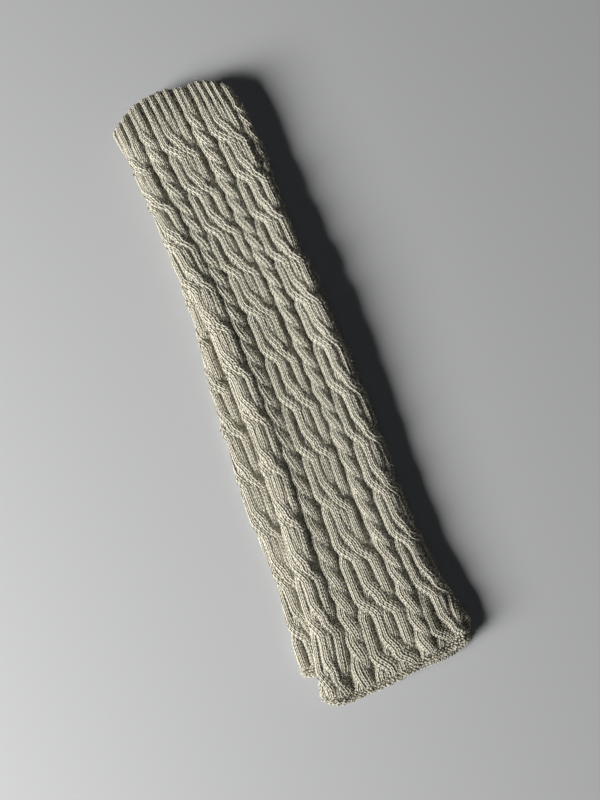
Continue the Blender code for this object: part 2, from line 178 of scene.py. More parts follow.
LOWER_ROWS = (
    (240, -50.0, 42.0, -46.0), (200, -51.0, 41.8, -47.5), (160, -52.0, 41.0, -49.5),
    (120, -53.5, 39.5, -51.0), (80, -55.3, 37.5, -52.0), (40, -60.0, 33.0, -52.4),
    (0, -64.0, 29.5, -52.4), (-40, -66.5, 27.0, -52.5), (-75, -68.0, 25.0, -52.6),
    (-120, -66.2, 24.0, -52.6), (-150, -68.0, 23.5, -52.8), (-185, -75.5, 25.0, -53.0),
    (-212, -78.2, 27.0, -54.0),
)
# How far an opening's edge stands back: share of the width, front wall, back wall.
UPPER_CUFF_EDGE = ((0.0, 16.5, 16.5), (0.2, 4.6, 7.0), (0.35, 0.8, 4.0), (0.5, 0.0, 3.0),
                   (0.65, 4.0, 6.0), (0.82, 4.6, 8.0), (1.0, 15.0, 15.0))
UPPER_HEM_EDGE = ((0.0, 7.0, 7.0), (0.12, 0.6, 3.0), (0.25, 0.0, 2.0), (0.5, 2.6, 3.0),
                  (0.7, 8.0, 3.5), (0.88, 10.5, 4.0), (1.0, 12.0, 8.0))
LOWER_CUFF_EDGE = ((0.0, 14.0, 14.0), (0.5, 0.0, 2.0), (1.0, 14.0, 14.0))
LOWER_HEM_EDGE = ((0.0, 3.0, 3.0), (0.3, 0.0, 1.0), (1.0, 3.0, 3.0))
# At distances from the cuff's edge and from the hem: share of the strands' height, and height of
# the cast-off band.
CUFF_SHARES = ((0.0, 0.55), (3.0, 1.0))
HEM_SHARES = ((0.0, 0.0), (5.5, 0.1), (8.5, 0.45), (11.5, 0.85), (15.0, 1.0))
HEM_BEADS = ((0.0, -1.0), (1.2, 0.4), (3.4, 1.8), (6.0, 1.5), (8.5, 0.8), (11.0, 0.2),
             (13.0, 0.0))

# ---------------------------------------------------------------- the yarn, in mm
COLUMN = 2.5              # one knit column of a wide cable
ROPE_COLUMN = 2.6         # one knit column of a rope
CUFF_COLUMN = 2.3         # one knit column of a cuff rib
RIB_HALF = CUFF_COLUMN + 0.7      # half the width of a rib: a column, and what rounds it off
THIRD_COLUMN = 1.4 * CUFF_COLUMN  # in the ribs, a strand's third column lies this far out,
THIRD_COLUMN_FROM = 0.45  # and it shows from this share of a full strand
ROW = 2.95                # one row of knitting
KNIT_FIRST_ROW = 0.6      # the first row of knit stitches, from the cuff's edge
PURL_FIRST_ROW = 1.5      # and of purl bumps
ASIDE = 0.3               # the cloth's direction is measured over this, to either side
YARN_SINK = 0.15          # the yarn's middle lies this far under the strand's own height
STITCH_RELIEF = 1.35      # height of a stitch, as a share of a round yarn's
BURIED = 0.35             # a stitch that lies this far under another strand isn't made,
STEEPEST = 0.12           # nor one on a flank below this share of the strand's height,
COVERED = 0.35            # nor one that the other tube covers by this share
PURL_BELOW = 0.2          # purl bumps lie where the strands are lower than this share
PURL_SINK = 0.25          # and this far in the ground
PURL_SIZE = 0.95          # how wide they are, as a share of the shape
SIDE_STITCHES_END = np.radians(122)       # the stitches go on this far round a fold
# Painted shade on the yarn, standing in for the shade where it dives into the cloth and beside
# the next column:
ENDS_SHADE = 0.52         # how much darker the yarn is where it dives into the cloth
FLANK_SHADE = 0.59        # the same on the side that faces the next column
HEM_KNIT_ENDS = 9.0       # the knit gives way to the cast-off band this far from the hem
HEM_BUMP_STEP = 2.5       # from one bump of the cast-off band to the next
HEM_BUMP_ROWS = (1.8, 3.9, 6.0, 8.1, 10.2)        # rows of bumps, from the hem
HEM_BUMP_STRAY = (0.25, 0.35)     # how far a bump strays across and along,
HEM_BUMP_LIFT = (-0.7, 0.6)       # up or down,
HEM_BUMP_SIZE = (0.8, 1.7)        # in size
HEM_BUMP_TURN = 0.55              # and in direction, in radians
HEM_BUMP_SINK = 0.35      # its middle lies this far under the band's height
HEM_RELIEF = 0.6          # share of the strands' height that is felt in the band
INSIDE_BUMP_ROWS = (1.5, 4.0, 6.5, 9.0, 11.5)     # rows of bumps on the back wall's inside
INSIDE_BUMP_STRAY = 0.2
INSIDE_BUMP_SIZE = (0.85, 1.15)
INSIDE_BUMP_TURN = 0.4
# The chain and the cast-on edge: from one link to the next; then, on the front wall and on the
# back one, how far below the edge a link lies, and its size; then how far it leans to +Y.
Rim = namedtuple("Rim", "step drops sizes lean")
CHAIN_RIM = Rim(2.9, (0.5, 0.9), (0.95, 0.9), -0.9)
CAST_ON_RIM = Rim(2.3, (1.0, 0.9), (0.72, 0.72), 0.9)
RIM_RISE = 1.1            # how far a link points up
RIM_POINTS = 400          # points along an edge, from which the links' places are read
RIM_FRONT_END = np.radians(115)   # the front's edge goes on this far round a fold
LOOSE_LOOPS = 30          # small loops that stand out of the cast-off edge
LOOP_DROP = 0.6           # how far below the edge they start
PULLED_LOOP = (15.3, -222.4, 17.6)        # a snagged loop of yarn near the hem
FIBRE_LIFT = 1.15         # the fibres start this far above the wall, on the yarn
FIBRE_LEAN = 0.35         # how far a fibre leans, in radians
FIBRE_LENGTHS = (0.5, 1.6)        # the shortest and the longest, as shares of their length
FIBRES_ABOVE = 5.0        # fibres are raised on the cloth higher than this over the floor
FIBRES_BELOW_COVER = 0.3  # and covered by less than this share
SIZE_SPREAD = 0.06        # how far the size of a stitch strays, as a share
PURL_SEED, BAND_SEED, CHAIN_SEED, CAST_ON_SEED, LOOPS_SEED = 11, 21, 22, 23, 5

# ---------------------------------------------------------------- the walls under it, in mm
WALL_SINK = 0.4           # the wall lies this far below the stitches' places
BAND_SINK = 1.1           # and this much more under the bumps of the cast-off band,
BAND_FADE = 3.0           # which comes in over this
WALL_ACROSS = 0.95        # size of a face of the wall, across
WALL_ALONG = 2.0          # and along
UNDER_COLUMNS = 24        # faces across the underside
UNDER_STEP = 3.4          # width of one of them, for its pattern
SLIT_ROWS = 6             # rows of the outside to one of the inside
SLIT_ROUNDNESS = 0.3      # power with which the slit closes at the folds

# ---------------------------------------------------------------- the stage, in metres
FLOOR_HALF, FLOOR_DROP = 2500.0, 0.05     # half the floor's side and how low it lies, in mm
WORLD_COLOR = (0.9, 0.94, 1.0)
WORLD_STRENGTH = 0.008
Lamp = namedtuple("Lamp", "place size color")
KEY_LAMP = Lamp((-2.1, -0.34, 0.97), 1.0, (1.0, 0.985, 0.96))
FILL_LAMP = Lamp((0.1, 0.2, 1.4), 1.2, (0.9, 0.95, 1.0))
LENS, SENSOR = 27.05, 36.0        # in mm
LENGTHWAYS = (0.354, 0.935)       # the pair's length in the photograph, across and down


# ---------------------------------------------------------------- settings
class YarnSettings(PropertyGroup):
    """Sizes of the yarn and of its loose fibres."""

    unevenness: FloatProperty(
        name="Unevenness", description="How far a stitch strays from its place",
        default=0.08 * MM, min=0.0, unit="LENGTH")
    turn: FloatProperty(
        name="Stitch Turn", description="How far a stitch turns out of line",
        default=np.radians(4.0), min=0.0, unit="ROTATION")
    seed: IntProperty(name="Seed", description="Seed of the stitches' unevenness", default=7)
    fibre_density: FloatProperty(
        name="Fibre Density", description="Loose fibres on a square metre of cloth",
        default=200000.0, min=0.0)
    fibre_length: FloatProperty(
        name="Fibre Length", description="Length of a loose fibre", default=2.3 * MM,
        min=0.0, unit="LENGTH")


class WoolSettings(PropertyGroup):
    """Colours and finish of the wool."""

    cream: FloatVectorProperty(
        name="Cream", description="Main colour of the wool", subtype="COLOR",
        default=(0.74, 0.71, 0.60))
    oatmeal: FloatVectorProperty(
        name="Oatmeal", description="Darker wool spun in with the cream", subtype="COLOR",
        default=(0.43, 0.415, 0.325))
    # Colour of the single dark hairs, and also the colour that all the painted shade on the wool
    # goes towards.
    fleck_and_shade: FloatVectorProperty(
        name="Fleck and Shade", description="Single dark hairs in the yarn", subtype="COLOR",
        default=(0.17, 0.145, 0.09))
    roughness: FloatProperty(
        name="Roughness", description="Roughness of the wool", default=0.93, min=0.0, max=1.0)
    glow: FloatProperty(
        name="Glow", description="Share of the light that goes through the wool before it leaves",
        default=0.25, min=0.0, max=1.0)


class StageSettings(PropertyGroup):
    """The light, the floor and the camera."""

    key_power: FloatProperty(
        name="Key Power", description="Strength of the broad soft light on the left",
        default=111.0, unit="POWER")
    fill_power: FloatProperty(
        name="Fill Power", description="Strength of the weak light from above", default=0.62,
        unit="POWER")
    floor: FloatVectorProperty(
        name="Floor", description="Colour of the plain floor", subtype="COLOR",
        default=(0.52, 0.53, 0.545))
    camera_height: FloatProperty(
        name="Camera Height", description="Height of the camera above the floor",
        default=0.486, unit="LENGTH")


# ---------------------------------------------------------------- reading the tables
def smoothstep(value):
    """Ease from 0 to 1."""
    value = np.clip(value, 0.0, 1.0)
    return value * value * (3.0 - 2.0 * value)


def smooth_read(places, values, at):
    """A table's values at any places, on a smooth curve through its rows."""
    last = len(places) - 1
    at = np.clip(at, places[0], places[-1])
    i = np.clip(np.searchsorted(places, at, side="right") - 1, 0, last - 1)
    span = places[i + 1] - places[i]
    share = (at - places[i]) / span
    before, after = np.maximum(i - 1, 0), np.minimum(i + 2, last)
    start = (values[i + 1] - values[before]) / (places[i + 1] - places[before]) * span
    end = (values[after] - values[i]) / (places[after] - places[i]) * span
    rise = values[i + 1] - values[i]
    return (values[i] + share * start + share ** 2 * (3 * rise - 2 * start - end)
            + share ** 3 * (start + end - 2 * rise))


def straight_read(pairs, at):
    """The values of (place, value) pairs at any places, on straight lines between them."""
    places, values = np.array(pairs).T
    return np.interp(at, places, values)


class Table:
    """Named columns that are read at any place of the first one."""

    def __init__(self, fields, rows):
        rows = np.array(sorted(rows), float)
        self.places = rows[:, 0]
        self.columns = {name: rows[:, i] for i, name in enumerate(fields)}

    def read(self, name, at):
        """One column's values, or zeros where the table has no such column."""
        if name not in self.columns:
            return np.zeros_like(at)
        return smooth_read(self.places, self.columns[name], at)


# ---------------------------------------------------------------- strands and crossings
def crossing_places():
    """Distance of each crossing from the cuff's edge of the upper leg warmer, and one more."""
    index = np.arange(CROSSINGS + 1)
    drawn = np.maximum(0, index - STRETCH_AFTER) ** STRETCH_POWER
    return FIRST_CROSSING + CROSSING_STEP * index + STRETCH * drawn


def leg_share(down):
    """0 in the cuff's ribs, and 1 where they have widened to full strands."""
    start, end = CUFF_RIB_ENDS
    return smoothstep((down - start) / (end - start))


def strand_tracks(cable, down):
    """Each strand's middle, share of the height and half-width, at distances down the leg."""
    places = crossing_places()
    if cable.strands == 2:
        places = FIRST_CROSSING + (places - FIRST_CROSSING) * ROPE_STEP_SHARE
    moves = CABLE_MOVES if cable.strands > 2 else ROPE_MOVES
    slots = list(range(cable.strands))
    tracks = [np.full(down.shape, float(slot)) for slot in slots]
    heights = [np.ones(down.shape) for _ in slots]
    spreads = [np.ones(down.shape) for _ in slots]
    for index in range(CROSSINGS):
        first = 0 if cable.strands == 2 or index % 2 else 1
        length = places[index + 1] - places[index]
        past = (down - places[index] - cable.lag) / length
        for left in range(first, cable.strands - 1, 2):
            over, under = slots.index(left), slots.index(left + 1)
            for strand, step, move in ((over, 1, moves[left][0]), (under, -1, moves[left][1])):
                progress = np.clip((past - move.delay) / (2 * move.reach) + 0.5, 0.0, 1.0)
                swell = np.sin(np.pi * np.clip(
                    (past - move.swell_at) / (2 * move.swell_reach) + 0.5, 0.0, 1.0))
                tracks[strand] += step * move.way * (
                    EASED * smoothstep(progress) + EVEN * progress)
                heights[strand] += move.rise * swell
                spreads[strand] += move.spread * swell
            slots[over], slots[under] = left + 1, left
    half = (cable.strands - 1) / 2
    travel = cable.width if cable.strands > 2 else ROPE_TRAVEL
    width, step = half_width(cable, down), np.gradient(down, axis=0)
    made = []
    for track, height, spread in zip(tracks, heights, spreads):
        slant = np.hypot(1.0, np.gradient(track, axis=0) * travel / step)
        made.append((cable.middle + (track - half) * travel, height, width * spread * slant))
    return made


def half_width(cable, down):
    """Half the width of a strand: narrower in the ribs of the cuff."""
    full = CABLE_HALF if cable.strands > 2 else ROPE_HALF
    return RIB_HALF + (full - RIB_HALF) * leg_share(down)


def rounded(across, half):
    """Height of a strand's rounded back, as a share, at a distance from its middle."""
    return np.sqrt(np.maximum(0.0, 1.0 - np.abs(across / half) ** STRAND_POWER))


def knit_height(cables, offset, down, skip=None):
    """Height share of the strands at each place, without one strand if skip names it."""
    height = np.zeros(np.broadcast(offset, down).shape)
    for index, cable in enumerate(cables):
        travel = cable.width * (cable.strands - 1) if cable.strands > 2 else ROPE_TRAVEL
        half = travel / 2 + half_width(cable, down) - BASE_INSET
        share = BASE_SHARE if cable.strands > 2 else ROPE_BASE_SHARE
        base = share * leg_share(down) * rounded(offset - cable.middle, half)
        height = np.maximum(height, base)
        for strand, (middle, share, half) in enumerate(strand_tracks(cable, down)):
            if skip != (index, strand):
                height = np.maximum(height, share * rounded(offset - middle, half))
    return height


class Tube:
    """One leg warmer's surface: a flattened tube read from its tables."""

    def __init__(self, table, lines, cables, cuff_edge, hem_edge, lead=0.0):
        self.table = table
        self.lines = lines
        self.cables = cables
        self.cuff_edge = Table(("at", "front", "back"), cuff_edge)
        self.hem_edge = Table(("at", "front", "back"), hem_edge)
        self.lead = lead
        self.hem_y, self.cuff_y = table.places[0], table.places[-1]

    def down(self, y):
        """Distance down the leg, as the crossings are counted."""
        return UPPER_ROWS[0][0] - self.lead - y

    def sides(self, y):
        """X of the left and of the right side."""
        return self.table.read("left", y), self.table.read("right", y)

    def folds(self, y):
        """X where the flat front gives way to the left and to the right fold."""
        left, right = self.sides(y)
        return left + LEFT_FOLD, right - RIGHT_FOLD

    def line_x(self, offset, y):
        """X of a knit column: the columns spread evenly between the lines of the table."""
        known = [(place, self.table.read(name, y)) for name, place in self.lines]
        x = known[0][1] + (offset - known[0][0]) * LEFT_SQUEEZE
        for (low, low_x), (high, high_x) in zip(known, known[1:]):
            between = low_x + (high_x - low_x) * (offset - low) / (high - low)
            x = np.where(offset > low, between, x)
        squeeze = RIGHT_SQUEEZE if len(known) > 1 else 1.0
        return np.where(offset > known[-1][0],
                        known[-1][1] + (offset - known[-1][0]) * squeeze, x)

    def relief_share(self, y):
        """Share of the strands' height: less at the cuff's rim, none at the cast-off edge."""
        return straight_read(CUFF_SHARES, self.cuff_y - y) * straight_read(
            HEM_SHARES, y - self.hem_y)

    def bead(self, y):
        """Height of the cast-off band above the purl ground."""
        return straight_read(HEM_BEADS, y - self.hem_y)

    def hidden(self, x, y):
        """Share by which the front is pressed plain under the other tube."""
        return np.zeros(np.broadcast(x, y).shape)

    def ground(self, x, y):
        """Height of what the tube lies on."""
        return np.zeros(np.broadcast(x, y).shape)

    def lift(self, x, y, roll, bulge):
        """Height that the roll on the left and the bulge on the right add to the front."""
        flat_left, flat_right = self.folds(y)
        return roll * (1.0 - smoothstep((x - flat_left) / ROLL_FALL)) + bulge * smoothstep(
            (x - flat_right) / BULGE_RISE + 1.0)

    def place(self, x, y, z, front):
        """Move a point of the section to its wall's end line, and onto what the tube lies on."""
        left, right = self.sides(y)
        across = (x - left) / (right - left)
        cuff_near = 1.0 - smoothstep((self.cuff_y - y) / EDGE_FADE)
        hem_near = 1.0 - smoothstep((y - self.hem_y) / EDGE_FADE)
        for edge, near in ((self.cuff_edge, -cuff_near), (self.hem_edge, hem_near)):
            back = edge.read("front", across) * front + edge.read("back", across) * (1 - front)
            y = y + near * back
        return np.stack(np.broadcast_arrays(
            x - ORIGIN_X, y - ORIGIN_Y, z + self.ground(x, y)), axis=-1)

    def angle(self, offset, y):
        """How far round a folded side a place lies: 0 on the flat front."""
        flat_left, flat_right = self.folds(y)
        x = self.line_x(offset, y)
        return np.pi * np.maximum(0.0, np.maximum(
            (flat_left - x) / LEFT_ARC, (x - flat_right) / RIGHT_ARC))

    def wall(self, offset, y, height):
        """Points of the front and of both sides, at a height above the purl ground."""
        offset, y, height = np.broadcast_arrays(offset, y, height)
        x, roll, bulge = (self.line_x(offset, y), self.table.read("roll", y),
                          self.table.read("bulge", y))
        flat_left, flat_right = self.folds(y)
        cover = self.hidden(np.clip(x, *self.sides(y)), y)
        height = height + (PRESSED - height) * cover
        turn = np.minimum(self.angle(offset, y), np.pi)
        height = height * (1.0 - smoothstep((turn - RELIEF_ENDS) / RELIEF_FADE))
        on_left = x < flat_left
        side = np.where(on_left, -1.0, 1.0)
        start = np.where(on_left, flat_left, flat_right)
        radius = np.where(on_left, LEFT_FOLD, RIGHT_FOLD)
        half = (TUBE_GROUND + np.where(on_left, roll, bulge)) / 2
        out_x, out_z = half * np.sin(turn), radius * np.cos(turn)
        size = np.hypot(out_x, out_z)
        folded = turn > 0.0
        section_x = np.where(
            folded, start + side * (radius * np.sin(turn) + height * out_x / size), x)
        section_z = np.where(
            folded, half * (1.0 + np.cos(turn)) + height * out_z / size,
            TUBE_GROUND + self.lift(x, y, roll, bulge) + height)
        return self.place(section_x, y, section_z, smoothstep(section_z / TUBE_GROUND))


class LowerTube(Tube):
    """The tube that lies on the surface, pressed plain where the other one covers it."""

    def hidden(self, x, y):
        beside = x - UPPER_TABLE.read("left", y) + SIDE_MARGIN
        return smoothstep(beside / COVER_FADE) * smoothstep((SLIVER_X - x) / SLIVER_FADE)


class UpperTube(Tube):
    """The tube on top, which sinks towards the surface where the lower one ends."""

    def ground(self, x, y):
        low, high = LOWER_TABLE.places[0], LOWER_TABLE.places[-1]
        near = np.clip(y, low, high)
        left, right = LOWER_TABLE.read("left", near), LOWER_TABLE.read("right", near)
        side = np.maximum(left + SIDE_MARGIN - x, x - right + SIDE_MARGIN)
        end = np.maximum(low - y, y - high) - END_MARGIN
        share = (1.0 - smoothstep(side / SIDE_FALL)) * (1.0 - smoothstep(end / END_FALL))
        return LOWER_TOP * share + TUBE_GAP


UPPER_TABLE = Table(UPPER_FIELDS, UPPER_ROWS)
LOWER_TABLE = Table(LOWER_FIELDS, LOWER_ROWS)


def wide_cable(repeats, lag=0.0):
    """A cable of four strands, some pitches from the middle one."""
    return Cable(repeats * PITCH, 4, CABLE_STRAND, lag, COLUMN)


def rope(repeats):
    """A rope of two strands, some pitches from the middle cable."""
    return Cable(repeats * PITCH, 2, ROPE_STRAND, 0.0, ROPE_COLUMN)


def upper_tube():
    cables = (wide_cable(-2), rope(-1), wide_cable(0), rope(1), wide_cable(2, lag=3.0), rope(3))
    lines = (STRAND_A, ("rope_1", -PITCH), ("cable_b", 0.0), ("rope_2", PITCH),
             ("cable_c", 2 * PITCH))
    return UpperTube(UPPER_TABLE, lines, cables, UPPER_CUFF_EDGE, UPPER_HEM_EDGE)


def lower_tube():
    return LowerTube(LOWER_TABLE, (STRAND_A,), (wide_cable(-2), wide_cable(2)),
                     LOWER_CUFF_EDGE, LOWER_HEM_EDGE, LOWER_LEAD)


def both_tubes():
    return (("lower", lower_tube()), ("upper", upper_tube()))


# ---------------------------------------------------------------- what several operators use
SHARED = {}


def shared(make):
    """What a function makes for this scene, made on first use and kept."""
    if make.__name__ not in SHARED:
        SHARED[make.__name__] = make()
    return SHARED[make.__name__]


# ---------------------------------------------------------------- meshes
def new_object(name, vertices, faces):
    """An object at the origin with this mesh, given in mm."""
    mesh = bpy.data.meshes.new(name)
    mesh.from_pydata((np.asarray(vertices, float) * MM).tolist(), [], faces)
    mesh.validate()
    return shown_object(name, mesh)


def shown_object(name, mesh):
    """A smooth mesh as an object of the scene."""
    mesh.polygons.foreach_set("use_smooth", [True] * len(mesh.polygons))
    made = bpy.data.objects.new(name, mesh)
    bpy.context.scene.collection.objects.link(made)
    return made


def add_uv(mesh, name, per_vertex):
    """A UV map from one pair of numbers for each vertex."""
    layer = mesh.uv_layers.new(name=name)
    corners = np.zeros(len(mesh.loops), int)
    mesh.loops.foreach_get("vertex_index", corners)
    layer.data.foreach_set("uv", np.asarray(per_vertex, float)[corners].ravel())


def round_yarn(points, radii, sides, flatness=1.0):
    """Vertices, faces and UVs of a closed length of yarn: its two ends come to a point."""
    points = np.asarray(points, float)
    tangents = np.gradient(points, axis=0)
    tangents /= np.linalg.norm(tangents, axis=1)[:, None]
    out = np.array([0.0, 0.0, 1.0]) - tangents * tangents[:, 2:]
    out /= np.linalg.norm(out, axis=1)[:, None]
    across = np.cross(tangents, out)
    vertices, uvs = [points[0]], [(0.5, 0.0)]
    turns = 2 * np.pi * np.arange(sides) / sides
    inner = range(1, len(points) - 1)
    for i in inner:
        for turn in turns:
            vertices.append(points[i] + radii[i] * (
                np.cos(turn) * across[i] + flatness * np.sin(turn) * out[i]))
            uvs.append((turn / (2 * np.pi), i / (len(points) - 1)))
    vertices.append(points[-1])
    uvs.append((0.5, 1.0))
    end, faces = len(vertices) - 1, []
    for k in range(sides):
        after = (k + 1) % sides
        faces.append((0, 1 + k, 1 + after))
        for ring in range(len(inner) - 1):
            a, b = 1 + ring * sides + k, 1 + ring * sides + after
            faces.append((a, a + sides, b + sides, b))
        last = 1 + (len(inner) - 1) * sides
        faces.append((last + k, end, last + after))
    return np.array(vertices), faces, np.array(uvs)


def yarn_object(name, parts):
    """Several lengths of yarn as one object, with their faces turned outwards."""
    vertices, faces, uvs, start = [], [], [], 0
    for points, corners, places in parts:
        vertices.append(points)
        uvs.append(places)
        faces += [tuple(start + i for i in face) for face in corners]
        start += len(points)
    made = new_object(name, np.concatenate(vertices), faces)
    add_uv(made.data, "yarn", np.concatenate(uvs))
    work = bmesh.new()
    work.from_mesh(made.data)
    bmesh.ops.recalc_face_normals(work, faces=work.faces)
    work.to_mesh(made.data)
    work.free()
    return made


# The small shapes that the node trees repeat. They are taken out again before the scene is done.
def knit_stitch():
    """A knit stitch: two legs that rise from the stitch before and dive into the next."""
    line = ((0.08, -1.1, -0.50), (0.36, -0.3, -0.05), (0.64, 0.9, 0.06),
            (0.82, 2.1, 0.0), (0.86, 3.1, -0.50))
    radii = (0.0, 0.50, 0.60, 0.54, 0.0)
    legs = []
    for side in (1.0, -1.0):
        points = np.array(line) * (side, 1.0, 1.0)
        vertices, faces, uvs = round_yarn(points, radii, 5, flatness=0.55)
        legs.append((vertices, faces, uvs + (0.25 - 0.25 * side, 0.0)))
    return yarn_object("knit_stitch", legs)


def purl_bump():
    """A purl stitch: a short arc of yarn that lies across the column."""
    line = ((-1.15, 0.45, -0.45), (-0.62, -0.1, 0.12), (0.0, -0.3, 0.25), (0.62, -0.1, 0.12),
            (1.15, 0.45, -0.45))
    return yarn_object("purl_bump", [round_yarn(line, (0.0, 0.46, 0.54, 0.46, 0.0), 5)])


def chain_link():
    """One link of the cast-off chain: a loop that lies along the edge."""
    line = ((-0.1, -0.5, -0.5), (0.5, 0.1, 0.0), (0.72, 1.3, 0.2), (0.45, 2.5, 0.05),
            (0.05, 3.1, -0.5))
    radii = (0.0, 0.46, 0.58, 0.5, 0.0)
    return yarn_object("chain_link", [
        round_yarn(np.array(line) * (side, 1.0, 1.0), radii, 5) for side in (1.0, -1.0)])


def loose_fibre():
    """One hair: a thin bent spindle that stands on the cloth and leans over."""
    line = ((0.0, 0.0, -0.15), (0.12, 0.0, 0.18), (0.48, 0.06, 0.42), (1.0, 0.0, 0.45))
    return yarn_object("loose_fibre", [round_yarn(line, (0.0, 0.018, 0.016, 0.0), 3)])


def loose_loop(place, radius, thickness, turn, lean):
    """A loop of yarn that stands out of the knitting at a place, turned and leaning."""
    count = 12
    around = np.radians(np.linspace(-35.0, 245.0, count))
    flat = np.stack([np.cos(around) * radius * 0.8, np.zeros(count), np.sin(around) * radius],
                    axis=1)
    leaning = np.array(((1, 0, 0), (0, np.cos(lean), -np.sin(lean)),
                        (0, np.sin(lean), np.cos(lean))))
    turning = np.array(((np.cos(turn), -np.sin(turn), 0), (np.sin(turn), np.cos(turn), 0),
                        (0, 0, 1)))
    line = flat @ leaning.T @ turning.T
    vertices, faces, uvs = round_yarn(line, np.full(count, thickness), 6)
    return vertices + np.array(place), faces, uvs * (1.0, 6.0)


# ---------------------------------------------------------------- node trees
class Nodes:
    """A small helper that adds nodes to a node tree and links them."""

    def __init__(self, tree):
        self.tree = tree

    def link(self, value, socket):
        self.tree.links.new(value, socket)

    def add(self, kind, inputs=None, **settings):
        """A node with these settings, and with a value or a link in each of these inputs."""
        node = self.tree.nodes.new(kind)
        for name, value in settings.items():
            setattr(node, name, value)
        for name, value in (inputs or {}).items():
            if isinstance(value, NodeSocket):
                self.link(value, node.inputs[name])
            else:
                node.inputs[name].default_value = value
        return node

    def math(self, operation, first, second=0.0):
        return self.add("ShaderNodeMath", {0: first, 1: second}, operation=operation).outputs[0]

    def product(self, first, second):
        return self.math("MULTIPLY", first, second)

    def total(self, first, second):
        return self.math("ADD", first, second)

    def scaled(self, vector, scale):
        return self.add("ShaderNodeVectorMath", {0: vector, "Scale": scale},
                        operation="SCALE").outputs["Vector"]

    def noise(self, vector, scale, detail=2.0, roughness=0.5):
        return self.add("ShaderNodeTexNoise", {
            "Vector": vector, "Scale": scale, "Detail": detail, "Roughness": roughness,
        }).outputs["Fac"]

    def ramp(self, value, low, high):
        """Map a value's range onto 0 to 1, eased at both ends."""
        return self.add("ShaderNodeMapRange", {
            "Value": value, "From Min": low, "From Max": high},
            interpolation_type="SMOOTHSTEP").outputs["Result"]

    def mix(self, factor, first, second):
        """A mix of two colours. The node's inputs go by number, as their names repeat."""
        return self.add("ShaderNodeMix", {0: factor, 6: first, 7: second},
                        data_type="RGBA").outputs[2]

    def parts(self, vector):
        return self.add("ShaderNodeSeparateXYZ", {"Vector": vector}).outputs

    def bump(self, strength, distance, height, **inputs):
        return self.add("ShaderNodeBump", {
            "Strength": strength, "Distance": distance, "Height": height, **inputs,
        }).outputs["Normal"]

    def group(self, make, inputs):
        return self.add("ShaderNodeGroup", inputs, node_tree=shared(make))

    def uv(self, name):
        return self.add("ShaderNodeUVMap", uv_map=name).outputs["UV"]

    def attribute(self, name, kind):
        return self.add("GeometryNodeInputNamedAttribute", {"Name": name},
                        data_type=kind).outputs["Attribute"]

    def turned(self, rotation, euler):
        """A rotation, turned further about its own axes."""
        turn = self.add("FunctionNodeEulerToRotation", {0: euler}).outputs["Rotation"]
        return self.add("FunctionNodeRotateRotation", {
            "Rotation": rotation, "Rotate By": turn}, rotation_space="LOCAL").outputs["Rotation"]

    def repeated(self, points, shape, rotation, scale, wool):
        """A shape on each point, made real and given its wool."""
        shape = self.add("GeometryNodeObjectInfo", {"Object": shape}).outputs["Geometry"]
        spread = self.add("GeometryNodeInstanceOnPoints", {
            "Points": points, "Instance": shape, "Rotation": rotation, "Scale": scale})
        real = self.add("GeometryNodeRealizeInstances", {
            "Geometry": spread.outputs["Instances"]})
        return self.add("GeometryNodeSetMaterial", {
            "Geometry": real.outputs["Geometry"], "Material": wool}).outputs["Geometry"]


def node_group(name, kind, inputs, outputs):
    """A new tree with these sockets: its helper, the values it is given and its results."""
    tree = bpy.data.node_groups.new(name, kind)
    for sockets, way in ((inputs, "INPUT"), (outputs, "OUTPUT")):
        for label, value in sockets.items():
            tree.interface.new_socket(name=label, in_out=way, socket_type="NodeSocket" + value)
    given = tree.nodes.new("NodeGroupInput").outputs
    result = tree.nodes.new("NodeGroupOutput").inputs
    return Nodes(tree), given, result


def spread_tree():
    """The tree that puts one shape on each point, turned as the point's attributes say."""
    nodes, given, result = node_group(
        "stitches_on_points", "GeometryNodeTree",
        {"Points": "Geometry", "Stitch": "Object", "Unevenness": "Float", "Turn": "Float",
         "Size Spread": "Float", "Seed": "Int", "Wool": "Material"}, {"Knit": "Geometry"})

    def scattered(spread, seed_step):
        """A random vector, each part of it up to the spread both ways."""
        low, high = (nodes.scaled((way, way, way), given[spread]) for way in (-1.0, 1.0))
        seed = nodes.total(given["Seed"], seed_step)
        return nodes.add("FunctionNodeRandomValue", {0: low, 1: high, "Seed": seed},
                         data_type="FLOAT_VECTOR").outputs[0]

    moved = nodes.add("GeometryNodeSetPosition", {
        "Geometry": given["Points"], "Offset": scattered("Unevenness", 0)}).outputs["Geometry"]
    axes = nodes.add("FunctionNodeAxesToRotation", {
        "Primary Axis": nodes.attribute("out", "FLOAT_VECTOR"),
        "Secondary Axis": nodes.attribute("along", "FLOAT_VECTOR")},
        primary_axis="Z", secondary_axis="Y").outputs["Rotation"]
    size = nodes.add("ShaderNodeVectorMath", {
        0: nodes.attribute("size", "FLOAT_VECTOR"), 1: scattered("Size Spread", 2)},
        operation="ADD").outputs["Vector"]
    turned = nodes.turned(axes, scattered("Turn", 1))
    nodes.link(nodes.repeated(moved, given["Stitch"], turned, size, given["Wool"]),
               result["Knit"])
    return nodes.tree


